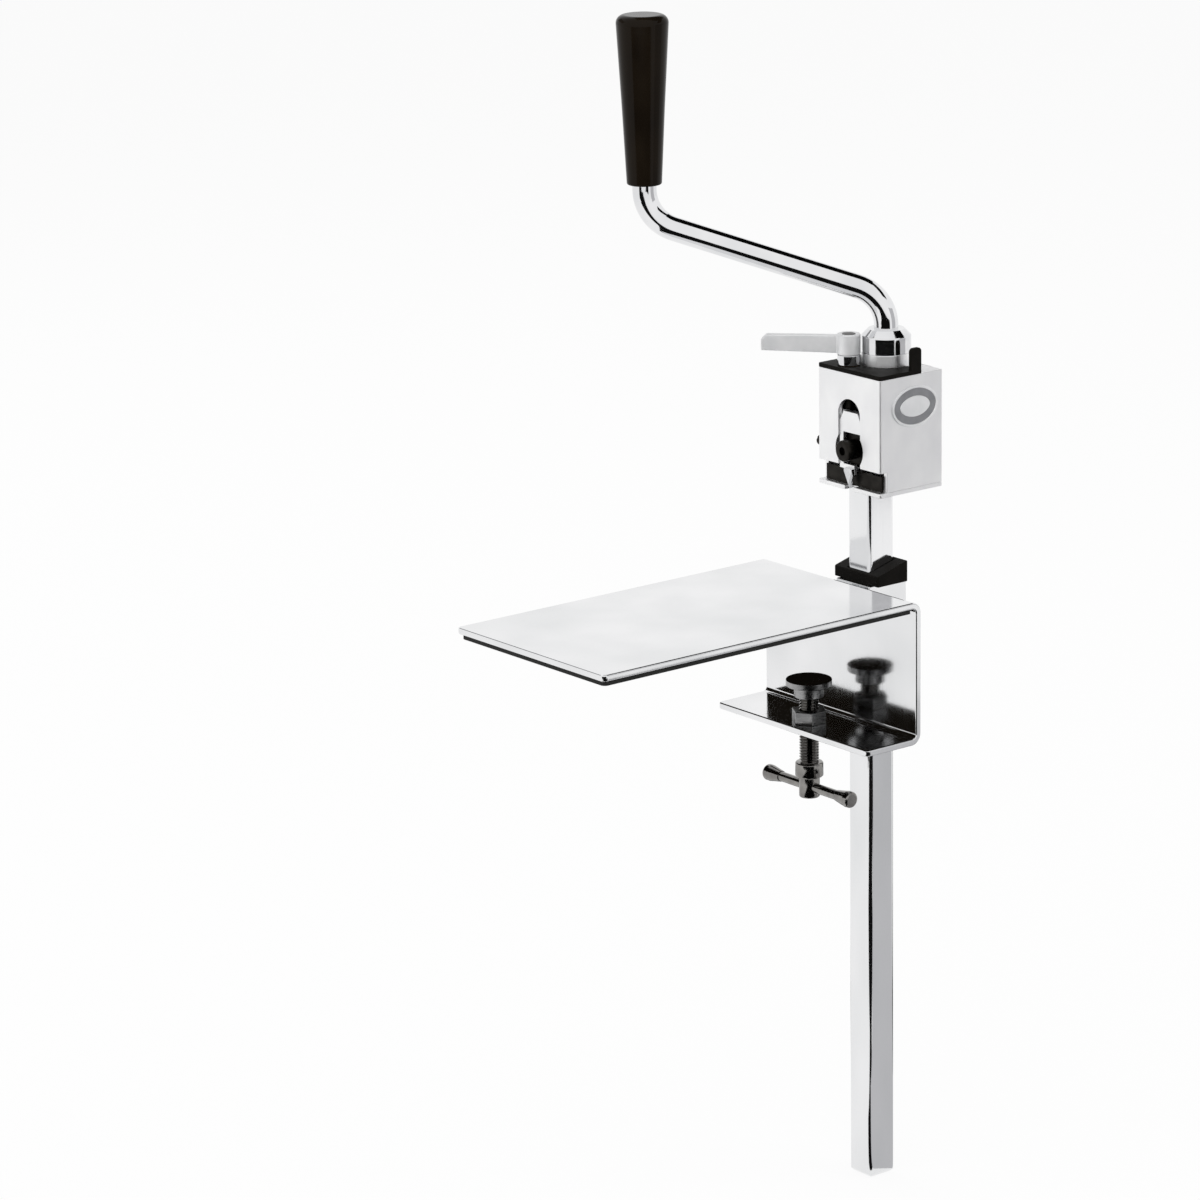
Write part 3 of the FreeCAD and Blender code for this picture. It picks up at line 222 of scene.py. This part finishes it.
# enamel laid in the sunk band of the oval plate: flat mid grey with a slight gloss
greyEnamel = makePlastic("greyEnamel", {
    "dark": "#737477", "light": "#7e7f82", "skin": (0.4, 0.4, 0.4), "cloud": (6.0, 6.0, 6.0),
    "ior": 1.5, "sheen": 0.5, "rough": (0.28, 0.36), "relief": 0.005, "strength": 0.2})
# nylon guide bushes, injection moulded: black with a fine matt skin
blackNylon = makePlastic("mouldedBlackNylon", {
    "dark": "#100f0d", "light": "#161412", "skin": (0.35, 0.35, 0.35), "cloud": (8.0, 8.0, 8.0),
    "ior": 1.5, "sheen": 0.03, "rough": (0.42, 0.52), "relief": 0.02, "strength": 0.35})
# sheet rubber under the plate: matt, dusty black with a fine pressed grain
sheetRubber = makePlastic("sheetRubber", {
    "dark": "#1b1b1a", "light": "#262625", "skin": (0.7, 0.7, 0.7), "cloud": (12.0, 12.0, 12.0),
    "ior": 1.5, "sheen": 0.35, "rough": (0.72, 0.88), "relief": 0.05, "strength": 0.6})

finishes = {
    polishedBar: ("mast",),
    polishedSheet: ("base_frame", "guide_tube", "guide_spacer"),
    satinCasting: ("head_base", "head_housing", "head_lid", "knife_carrier", "crank_flange"),
    satinFlatBar: ("lever_arm",),
    chromePlate: ("crank_rod",),
    chromeTurned: ("crank_hub", "lever_boss"),
    turnedSteel: ("pressure_foot", "clamp_nut", "grip_spindle"),
    darkTurning: ("clamp_screw", "tommy_bar", "tommy_knob_back", "tommy_knob_front"),
    blackedSteel: ("crank_gear", "crank_shaft", "feed_gear", "feed_shaft", "feed_wheel", "follower_pin",
                   "lever_shaft", "wheel_screw", "rim_stop"),
    groundKnife: ("knife",),
    sinteredBronze: ("crank_bush", "lever_bush", "front_bearing", "rear_bearing"),
    zincPlate: ("head_screws", "spindle_clip"),
    blackPhenolic: ("grip", "grip_cap"),
    blackNylon: ("upper_bush", "lower_bush", "lever_plate", "thrust_washer"),
    sheetRubber: ("rubber_pad",),
}


def dressNodes(dress):
    for material, names in dress.items():
        for name in names:
            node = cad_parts[name]
            if not node.material_slots:
                node.data.materials.append(material)
            for slot in node.material_slots:
                slot.material = material


dressNodes(finishes)
print("finishes on the carried-over nodes")


# modelling by hand: how nearly a picked face looks along an axis, the slack in metres when edges are
# picked by height, the angle up to which faces shade as one, and the steps of a usual round edge
facing = 0.9
slack = 1e-6
smoothUpTo = 35.0
roundSteps = 3


def nothingSelected():
    if bpy.context.object and bpy.context.object.mode != "OBJECT":
        bpy.ops.object.mode_set(mode="OBJECT")
    bpy.ops.object.select_all(action="DESELECT")


# names the active object
def startPiece(name):
    piece = bpy.context.object
    piece.name = name
    piece.data.name = name
    return piece


# selects the faces or edges of a piece that pass a test, and leaves it in edit mode
def pick(piece, kind, test):
    bpy.ops.object.mode_set(mode="EDIT")
    bpy.ops.mesh.select_mode(type=kind)
    bpy.ops.mesh.select_all(action="DESELECT")
    bpy.ops.object.mode_set(mode="OBJECT")
    mesh = piece.data
    if kind == "FACE":
        for face in mesh.polygons:
            face.select = test(face)
    else:
        for edge in mesh.edges:
            edge.select = test([mesh.vertices[index].co for index in edge.vertices])
    bpy.ops.object.mode_set(mode="EDIT")


def roundEdges(piece, test, edge, steps=roundSteps):
    pick(piece, "EDGE", test)
    bpy.ops.mesh.bevel(offset=edge * mm, segments=steps, affect="EDGES")
    bpy.ops.object.mode_set(mode="OBJECT")


def finishPiece(piece, body, material, replaced=None):
    nothingSelected()
    piece.select_set(True)
    bpy.context.view_layer.objects.active = piece
    bpy.ops.object.transform_apply(location=True, rotation=True, scale=True)
    bpy.ops.object.shade_smooth_by_angle(angle=math.radians(smoothUpTo))
    piece.data.materials.clear()
    piece.data.materials.append(material)
    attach(piece, body)
    if replaced:
        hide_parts(replaced)
    nothingSelected()


def applyAll(piece):
    bpy.ops.object.mode_set(mode="OBJECT")
    bpy.context.view_layer.objects.active = piece
    for modifier in list(piece.modifiers):
        bpy.ops.object.modifier_apply(modifier=modifier.name)


def cutAway(piece, cutter):
    cut = piece.modifiers.new("cut", "BOOLEAN")
    cut.object = cutter
    cut.solver = "EXACT"
    nothingSelected()
    piece.select_set(True)
    applyAll(piece)
    bpy.data.objects.remove(cutter)


def joinPieces(name, pieces):
    nothingSelected()
    for piece in pieces:
        piece.select_set(True)
    bpy.context.view_layer.objects.active = pieces[0]
    bpy.ops.object.join()
    return startPiece(name)


# clamp screw: a cut thread of the common 1.75 mm pitch, a collar under it, and a boss that the bar crosses;
# sizes in mm, crestFrom and crestTo in pitches, and the laps are how far one length runs into the next
clampScrew = {
    "crest": 6.0, "root": 5.0, "pitch": 1.75, "crestFrom": 0.44, "crestTo": 0.56, "spareTurns": 2, "steps": 36,
    "top": -61.3, "bottom": -102.0, "collarRadius": 8.5, "collarBottom": -111.0, "bossRadius": 6.3,
    "bossBottom": -124.0, "tipRadius": 4.5, "tipTop": -54.6, "sides": 64, "edge": 0.9, "tipEdge": 0.6,
    "lap": 0.2, "bossLap": 0.1, "weld": 0.01,
}


# one turn's profile, wound past both ends and cut to length
def makeThread(sizes):
    pitch = sizes["pitch"] * mm
    crest, root = sizes["crest"] * mm, sizes["root"] * mm
    low = (sizes["bottom"] - sizes["spareTurns"] * sizes["pitch"]) * mm
    turns = int((sizes["top"] - sizes["bottom"]) / sizes["pitch"]) + 2 * sizes["spareTurns"]
    nothingSelected()
    bpy.ops.mesh.primitive_plane_add(size=1.0, location=(0, 0, 0))
    piece = startPiece("clampScrewThread")
    profile = [(root, 0.0), (crest, pitch * sizes["crestFrom"]),
               (root, pitch), (crest, pitch * sizes["crestTo"])]
    for corner, (across, up) in zip(piece.data.vertices, profile):
        corner.co = (across, 0.0, low + up)
    # the plane's edge from root to root goes, so that an open profile is left
    pick(piece, "EDGE", lambda ends: abs(ends[0].z - ends[1].z) > pitch * 0.9)
    bpy.ops.mesh.delete(type="EDGE")
    bpy.ops.mesh.select_all(action="SELECT")
    bpy.ops.mesh.delete(type="ONLY_FACE")
    bpy.ops.object.mode_set(mode="OBJECT")
    screw = piece.modifiers.new("thread", "SCREW")
    screw.screw_offset = pitch
    screw.iterations = turns
    screw.steps = screw.render_steps = sizes["steps"]
    screw.use_merge_vertices = True
    screw.merge_threshold = sizes["weld"] * mm
    applyAll(piece)
    bpy.ops.object.mode_set(mode="EDIT")
    bpy.ops.mesh.select_all(action="SELECT")
    bpy.ops.mesh.remove_doubles(threshold=sizes["weld"] * mm)
    cuts = ((sizes["top"], {"clear_outer": True}), (sizes["bottom"] - sizes["lap"], {"clear_inner": True}))
    for height, side in cuts:
        bpy.ops.mesh.select_all(action="SELECT")
        bpy.ops.mesh.bisect(plane_co=(0, 0, height * mm), plane_no=(0, 0, 1), use_fill=True, **side)
    bpy.ops.mesh.select_all(action="SELECT")
    bpy.ops.mesh.normals_make_consistent(inside=False)
    bpy.ops.object.mode_set(mode="OBJECT")
    return piece


# a turned length on the Z axis with rounded rims
def makeTurning(name, radius, low, high, edge, sides):
    nothingSelected()
    bpy.ops.mesh.primitive_cylinder_add(vertices=sides, radius=radius * mm, depth=(high - low) * mm,
                                        location=(0, 0, (low + high) / 2 * mm))
    piece = startPiece(name)
    bpy.ops.object.transform_apply(location=True)
    roundEdges(piece, lambda ends: abs(ends[0].z - ends[1].z) < slack, edge)
    return piece


def makeClampScrew(sizes):
    thread = makeThread(sizes)
    lengths = (
        ("collar", sizes["collarRadius"], sizes["collarBottom"], sizes["bottom"], sizes["edge"]),
        ("boss", sizes["bossRadius"], sizes["bossBottom"],
         sizes["collarBottom"] + sizes["bossLap"], sizes["edge"]),
        ("tip", sizes["tipRadius"], sizes["top"] - sizes["lap"], sizes["tipTop"], sizes["tipEdge"]),
    )
    turnings = [makeTurning(*length, sizes["sides"]) for length in lengths]
    screw = joinPieces("clampScrew", [thread, *turnings])
    finishPiece(screw, "screw", darkTurning, "clamp_screw")


makeClampScrew(clampScrew)
print("clamp screw made")


# screw that holds the feed wheel: a low cheese head with a round socket
wheelScrew = {
    "radius": 6.5, "front": 27.1, "back": 31.6, "height": 86.0, "socket": 2.6, "lip": 0.25, "deep": 2.4,
    "edge": 1.1, "steps": 4, "sides": 48,
}


def makeWheelScrew(sizes):
    nothingSelected()
    length = sizes["back"] - sizes["front"]
    bpy.ops.mesh.primitive_cylinder_add(vertices=sizes["sides"], radius=sizes["radius"] * mm, depth=length * mm)
    piece = startPiece("feedWheelScrew")
    pick(piece, "FACE", lambda face: face.normal.z > facing)
    bpy.ops.mesh.inset(thickness=(sizes["radius"] - sizes["socket"] - sizes["lip"]) * mm)
    bpy.ops.mesh.inset(thickness=sizes["lip"] * mm)
    bpy.ops.mesh.extrude_region_move(TRANSFORM_OT_translate={"value": (0, 0, -sizes["deep"] * mm)})
    top = length / 2 * mm
    rim = sizes["radius"] * mm * 0.98
    roundEdges(piece, lambda ends: all(end.z > top - slack and end.xy.length > rim for end in ends),
               sizes["edge"], sizes["steps"])
    middle = (sizes["front"] + sizes["back"]) / 2
    piece.matrix_world = Matrix.Translation((middle * mm, 0, sizes["height"] * mm)) @ turned(-90.0, "Y")
    finishPiece(piece, "feed", blackedSteel, "wheel_screw")


makeWheelScrew(wheelScrew)
print("feed wheel screw made")


# cross-recessed screws of the head: one is modelled, and the rest are copies, each turned differently
headScrew = {
    "radius": 2.8, "head": 1.8, "shank": 1.5, "length": 8.0, "edge": 0.45, "sides": 32,
    "armLong": 1.7, "armWide": 0.34, "deep": 1.0, "taper": 0.45, "firstSpin": 17.0, "nextSpin": 41.0,
    "rightFace": 82.6, "backFace": 28.0, "aside": 18.0, "heights": (67.5, 129.6), "backAcross": (47.6, 72.6),
}


# the cutter for a cross recess: two crossed bars that narrow downwards
def makeCross(sizes):
    bars = []
    for angle in (0.0, 90.0):
        nothingSelected()
        bpy.ops.mesh.primitive_cube_add(size=1.0, location=(0, 0, 0), rotation=(0, 0, math.radians(angle)))
        bar = startPiece("crossBar")
        bar.scale = (sizes["armLong"] * 2 * mm, sizes["armWide"] * 2 * mm, sizes["deep"] * 2 * mm)
        bpy.ops.object.transform_apply(location=False, rotation=True, scale=True)
        pick(bar, "FACE", lambda face: face.normal.z < -facing)
        bpy.ops.transform.resize(value=(sizes["taper"], sizes["taper"], 1.0))
        bpy.ops.object.mode_set(mode="OBJECT")
        bars.append(bar)
    return bars


def makeHeadScrew(sizes):
    nothingSelected()
    bpy.ops.mesh.primitive_cylinder_add(vertices=sizes["sides"], radius=sizes["radius"] * mm,
                                        depth=sizes["head"] * mm, location=(0, 0, -sizes["head"] / 2 * mm))
    piece = startPiece("headScrew")
    bpy.ops.object.transform_apply(location=True)
    pick(piece, "FACE", lambda face: face.normal.z < -facing)
    bpy.ops.mesh.inset(thickness=(sizes["radius"] - sizes["shank"]) * mm)
    bpy.ops.mesh.extrude_region_move(
        TRANSFORM_OT_translate={"value": (0, 0, (sizes["head"] - sizes["length"]) * mm)})
    roundEdges(piece, lambda ends: all(end.z > -slack for end in ends), sizes["edge"])
    for bar in makeCross(sizes):
        cutAway(piece, bar)
    return piece


def placeHeadScrews(sizes):
    first = makeHeadScrew(sizes)
    spots = [((sizes["rightFace"], way * sizes["aside"], height), (0, 90, 0))
             for way in (-1, 1) for height in sizes["heights"]]
    spots += [((across, sizes["backFace"], height), (-90, 0, 0))
              for across in sizes["backAcross"] for height in sizes["heights"]]
    copies = []
    for number, (place, turn) in enumerate(spots):
        copy = newObject(f"headScrew{number}", first.data.copy())
        spin = turned(sizes["firstSpin"] + sizes["nextSpin"] * number, "Z")
        tilt = turned(turn[1], "Y") @ turned(turn[0], "X")
        copy.matrix_world = Matrix.Translation(Vector(place) * mm) @ tilt @ spin
        copies.append(copy)
    bpy.data.objects.remove(first)
    screws = joinPieces("headScrews", copies)
    finishPiece(screws, "head", zincPlate, "head_screws")


placeHeadScrews(headScrew)
print("head screws made")


# slotted screw on the head's far face, seen edge on at the head's left
farScrew = {
    "across": 36.5, "high": 86.5, "face": 28.0, "sunk": 0.05, "spin": 25.0, "radius": 3.3, "proud": 3.2,
    "edge": 1.1, "steps": 4, "sides": 40, "slot": 0.9, "deep": 1.0,
}


def makeFarScrew(sizes):
    nothingSelected()
    bpy.ops.mesh.primitive_cylinder_add(vertices=sizes["sides"], radius=sizes["radius"] * mm,
                                        depth=sizes["proud"] * mm)
    piece = startPiece("farScrew")
    top = sizes["proud"] / 2 * mm
    roundEdges(piece, lambda ends: all(end.z > top - slack for end in ends), sizes["edge"], sizes["steps"])
    nothingSelected()
    bpy.ops.mesh.primitive_cube_add(size=1.0, location=(0, 0, top))
    cutter = startPiece("screwSlot")
    cutter.scale = (sizes["radius"] * 3 * mm, sizes["slot"] * mm, sizes["deep"] * 2 * mm)
    bpy.ops.object.transform_apply(location=True, rotation=True, scale=True)
    cutAway(piece, cutter)
    middle = sizes["face"] + sizes["proud"] / 2 - sizes["sunk"]
    piece.matrix_world = (Matrix.Translation(Vector((sizes["across"], middle, sizes["high"])) * mm)
                          @ turned(-90.0, "X") @ turned(sizes["spin"], "Z"))
    finishPiece(piece, "head", blackedSteel)


makeFarScrew(farScrew)
print("far screw made")


# bare oval plate on the head's near face: a bright rim and middle, with a sunk band of grey enamel between
ovalPlate = {
    "across": 60.0, "high": 113.5, "face": -28.0, "sunk": 0.1, "long": 36.0, "tall": 25.0, "thick": 0.8,
    "border": 1.3, "band": 4.6, "bandDeep": 0.3, "bandSlope": 0.25, "edge": 0.25, "sides": 96,
}


def makeOvalPlate(sizes):
    nothingSelected()
    bpy.ops.mesh.primitive_cylinder_add(vertices=sizes["sides"], radius=0.5 * mm, depth=sizes["thick"] * mm)
    piece = startPiece("ovalPlate")
    piece.scale = (sizes["long"], sizes["tall"], 1.0)
    bpy.ops.object.transform_apply(location=False, rotation=False, scale=True)
    pick(piece, "FACE", lambda face: face.normal.z > facing)
    bpy.ops.mesh.inset(thickness=sizes["border"] * mm)
    bpy.ops.mesh.inset(thickness=sizes["bandSlope"] * mm, depth=-sizes["bandDeep"] * mm)
    bpy.ops.mesh.inset(thickness=sizes["band"] * mm)
    bpy.ops.mesh.inset(thickness=sizes["bandSlope"] * mm, depth=sizes["bandDeep"] * mm)
    top = sizes["thick"] / 2 * mm
    half = sizes["long"] * 0.5 * mm
    tall = sizes["tall"] * 0.5 * mm
    # of the top edges, those near the outline alone
    roundEdges(piece, lambda ends: all(
        end.z > top - slack and (end.x / half) ** 2 + (end.y / tall) ** 2 > 0.98
        for end in ends), sizes["edge"])
    middle = sizes["face"] - sizes["thick"] / 2 + sizes["sunk"]
    piece.matrix_world = (Matrix.Translation((sizes["across"] * mm, middle * mm, sizes["high"] * mm))
                          @ turned(90.0, "X"))
    finishPiece(piece, "head", satinFlatBar)
    piece.data.materials.append(greyEnamel)
    bandFace = (sizes["face"] - sizes["thick"] + sizes["bandDeep"] + sizes["sunk"]) * mm
    for face in piece.data.polygons:
        if face.normal.y < -facing and abs(face.center.y - bandFace) < 0.05 * mm:
            face.material_index = 1


makeOvalPlate(ovalPlate)
print("oval plate made")


# how edges are broken: corners within weld mm are one, faces within flat degrees of each other are one,
# and edges sharper than sharp degrees are rounded
breaking = {"weld": 0.002, "flat": 0.3, "sharp": 32.0}

# pieces whose edges are broken or moulded round, so that they catch the light; edge in mm
brokenEdges = (
    {"node": "base_frame", "name": "baseFrame", "body": "frame", "slot": "polished_steel", "edge": 0.9},
    {"node": "guide_tube", "name": "guideTube", "body": "frame", "slot": "bare_steel", "edge": 0.4},
    {"node": "upper_bush", "name": "upperBush", "body": "frame", "slot": "black_nylon", "edge": 0.6},
    {"node": "lower_bush", "name": "lowerBush", "body": "frame", "slot": "black_nylon", "edge": 0.4},
    {"node": "clamp_nut", "name": "clampNut", "body": "frame", "slot": "bare_steel", "edge": 0.5},
    {"node": "pressure_foot", "name": "pressureFoot", "body": "foot", "slot": "bare_steel", "edge": 0.5},
    {"node": "head_housing", "name": "headHousing", "body": "head", "slot": "satin_steel", "edge": 0.25},
    {"node": "head_base", "name": "headBase", "body": "head", "slot": "satin_steel", "edge": 0.35},
    {"node": "lever_plate", "name": "leverPlate", "body": "head", "slot": "black_nylon", "edge": 0.35},
    {"node": "lever_arm", "name": "leverArm", "body": "lever", "slot": "satin_steel", "edge": 0.7},
    {"node": "lever_boss", "name": "leverBoss", "body": "lever", "slot": "satin_steel", "edge": 0.4},
    {"node": "knife_carrier", "name": "knifeCarrier", "body": "knife", "slot": "satin_steel", "edge": 0.25},
)


# each piece is a copy of its node, in the node's own finish
def breakEdges(pieces, how):
    for sizes in pieces:
        nothingSelected()
        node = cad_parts[sizes["node"]]
        finish = node.material_slots[0].material
        piece = newObject(sizes["name"], node.data.copy())
        piece.matrix_world = node.matrix_world.copy()
        piece.select_set(True)
        bpy.context.view_layer.objects.active = piece
        startPiece(sizes["name"])
        bpy.ops.object.mode_set(mode="EDIT")
        bpy.ops.mesh.select_all(action="SELECT")
        bpy.ops.mesh.remove_doubles(threshold=how["weld"] * mm)
        bpy.ops.mesh.dissolve_limited(angle_limit=math.radians(how["flat"]))
        bpy.ops.object.mode_set(mode="OBJECT")
        bevel = piece.modifiers.new("edge", "BEVEL")
        bevel.width = sizes["edge"] * mm
        bevel.segments = roundSteps
        bevel.limit_method = "ANGLE"
        bevel.angle_limit = math.radians(how["sharp"])
        bevel.use_clamp_overlap = False
        applyAll(piece)
        finishPiece(piece, sizes["body"], finish, sizes["node"])
        piece.select_set(True)
        flats = piece.modifiers.new("flats", "WEIGHTED_NORMAL")
        flats.keep_sharp = True
        applyAll(piece)
        nothingSelected()


breakEdges(brokenEdges, breaking)
print("edges broken on", len(brokenEdges), "pieces")


# studio: a pale floor, a white world that metals mirror, and soft lamps that reflections don't see;
# the floor's height is in mm, the rest in metres and watts, and floorGlow is how much of its tone is its own
studio = {
    "floor": -379.5, "floorSize": 60.0, "floorTone": "#f4f4f4", "floorGlow": 0.9, "worldLight": 0.62,
    "aim": (0.0, 0.0, 0.05),
    "lights": (
        {"name": "keyLight", "place": (-1.9, -0.6, 1.9), "size": 3.4, "power": 34.0},
        {"name": "rightLight", "place": (1.6, -1.9, 1.1), "size": 2.6, "power": 16.0},
        {"name": "backLight", "place": (0.4, 2.2, 1.9), "size": 2.7, "power": 18.0},
    ),
}
white = (1, 1, 1, 1)


def pointAt(thing, target):
    way = Vector(target) - thing.location
    thing.rotation_euler = way.to_track_quat("-Z", "Y").to_euler()


# 1 for what is seen straight, mirrored or through something clear, and 0 for what only lights a surface
def seenShare(tree):
    path = addNode(tree, "ShaderNodeLightPath")
    share = path.outputs["Is Camera Ray"]
    for ray in ("Is Glossy Ray", "Is Transmission Ray"):
        node = addNode(tree, "ShaderNodeMath", {"operation": "MAXIMUM"}, {0: share, 1: path.outputs[ray]})
        share = node.outputs["Value"]
    return share


def makeFloor(setup):
    nothingSelected()
    bpy.ops.mesh.primitive_plane_add(size=setup["floorSize"], location=(0, 0, setup["floor"] * mm))
    floor = startPiece("floor")
    material, tree = newMaterial("paleFloor")
    share = addNode(tree, "ShaderNodeMath", {"operation": "MULTIPLY"},
                    {0: seenShare(tree), 1: setup["floorGlow"]})
    plain = addNode(tree, "ShaderNodeBsdfDiffuse", inputs={"Color": linear(setup["floorTone"])})
    glow = addNode(tree, "ShaderNodeEmission", inputs={"Color": white, "Strength": 1.0})
    mixed = addNode(tree, "ShaderNodeMixShader", inputs={
        0: share.outputs["Value"], 1: plain.outputs["BSDF"], 2: glow.outputs["Emission"]})
    closeMaterial(tree, mixed.outputs["Shader"])
    floor.data.materials.append(material)


# the world lights at worldLight, and is seen and mirrored at full white
def makeWorld(setup):
    world = bpy.data.worlds.new("studioWorld")
    world.use_nodes = True
    bpy.context.scene.world = world
    tree = world.node_tree
    tree.nodes.clear()
    dim = addNode(tree, "ShaderNodeBackground", inputs={"Color": white, "Strength": setup["worldLight"]})
    bright = addNode(tree, "ShaderNodeBackground", inputs={"Color": white, "Strength": 1.0})
    mixed = addNode(tree, "ShaderNodeMixShader", inputs={
        0: seenShare(tree), 1: dim.outputs["Background"], 2: bright.outputs["Background"]})
    addNode(tree, "ShaderNodeOutputWorld", inputs={"Surface": mixed.outputs["Shader"]})


def makeLamps(setup):
    for light in setup["lights"]:
        data = bpy.data.lights.new(light["name"], "AREA")
        data.shape = "DISK"
        data.size = light["size"]
        data.energy = light["power"]
        lamp = newObject(light["name"], data)
        lamp.location = light["place"]
        lamp.visible_camera = lamp.visible_glossy = False
        pointAt(lamp, setup["aim"])


makeFloor(studio)
makeWorld(studio)
makeLamps(studio)
print("studio made")


# black and grey cards that only reflections see, each named for where it lies or for what mirrors it; metres
# and degrees. A card faces its target, or lies flat and is turned. One marked below is seen from below alone
cards = (
    {"name": "nearCard", "place": (-1.11, -1.02, -0.22), "size": (3.0, 0.32),
     "target": (0.0, 0.0, -0.22), "tone": "#101010"},
    {"name": "floorCard", "place": (-0.56, -0.66, -0.375), "size": (0.9, 1.3),
     "turn": -42.0, "tone": "#101010"},
    {"name": "farFloorCard", "place": (-0.93, -0.98, -0.3765), "size": (2.6, 0.35),
     "turn": -42.0, "tone": "#101010"},
    {"name": "lowCard", "place": (-1.05, -1.08, -0.343), "size": (3.0, 0.07),
     "target": (0.0, 0.0, -0.343), "tone": "#101010"},
    {"name": "topCard", "place": (0.917, 0.433, 1.50), "size": (1.95, 1.5), "turn": 47.0, "tone": "#080808"},
    {"name": "screwCard", "place": (0.0, -1.0, -0.373), "size": (1.0, 0.8), "turn": 0.0, "tone": "#141414"},
    {"name": "mastCard", "place": (0.40, -0.474, -0.3785), "size": (1.145, 0.34),
     "turn": -52.9, "tone": "#c4c4c6"},
    {"name": "footCard", "place": (-0.048, -0.113, -0.3788), "size": (0.22, 0.25),
     "turn": -42.0, "tone": "#101010"},
    {"name": "sideCard", "place": (0.80, -1.00, 0.08), "size": (0.9, 0.66),
     "target": (0.06, 0.0, 0.08), "tone": "#c2c2c4"},
    {"name": "behindCard", "place": (0.76, 0.36, -0.3788), "size": (1.25, 0.55),
     "turn": 26.0, "tone": "#202020"},
    {"name": "frontEdgeCard", "place": (0.84, -0.40, 0.985), "size": (0.55, 1.25),
     "turn": 0.0, "lean": 19.3, "tone": "#080808"},
    {"name": "leftEdgeCard", "place": (-0.54, 1.11, 0.81), "size": (1.05, 0.45),
     "target": (-0.21, 0.0, 0.0), "tone": "#8c8c8e"},
    # the gap card lies where the worktop's underside would be: a painted reflection of that shaded underside,
    # which darkens the jaw's top and the wall's inner face
    {"name": "gapCard", "place": (-0.090, 0.06, -0.0495), "size": (0.226, 0.34),
     "turn": 0.0, "tone": "#15120e", "below": True},
)


def makeCards(rows):
    for card in rows:
        nothingSelected()
        bpy.ops.mesh.primitive_plane_add(size=1.0, location=card["place"])
        piece = startPiece(card["name"])
        piece.scale = (*card["size"], 1.0)
        if "target" in card:
            pointAt(piece, card["target"])
        else:
            piece.rotation_euler = (math.radians(card.get("lean", 0.0)), 0, math.radians(card["turn"]))
        material, tree = newMaterial(card["name"] + "Tone")
        tone = addNode(tree, "ShaderNodeEmission", inputs={"Color": linear(card["tone"]), "Strength": 1.0})
        surface = tone.outputs["Emission"]
        if card.get("below"):
            back = addNode(tree, "ShaderNodeNewGeometry").outputs["Backfacing"]
            clear = addNode(tree, "ShaderNodeBsdfTransparent")
            surface = addNode(tree, "ShaderNodeMixShader", inputs={
                0: back, 1: clear.outputs["BSDF"], 2: surface}).outputs["Shader"]
        closeMaterial(tree, surface)
        piece.data.materials.append(material)
        piece.visible_camera = piece.visible_diffuse = piece.visible_shadow = False
        piece.visible_transmission = piece.visible_volume_scatter = False


makeCards(cards)
print("cards made")

bpy.context.view_layer.update()
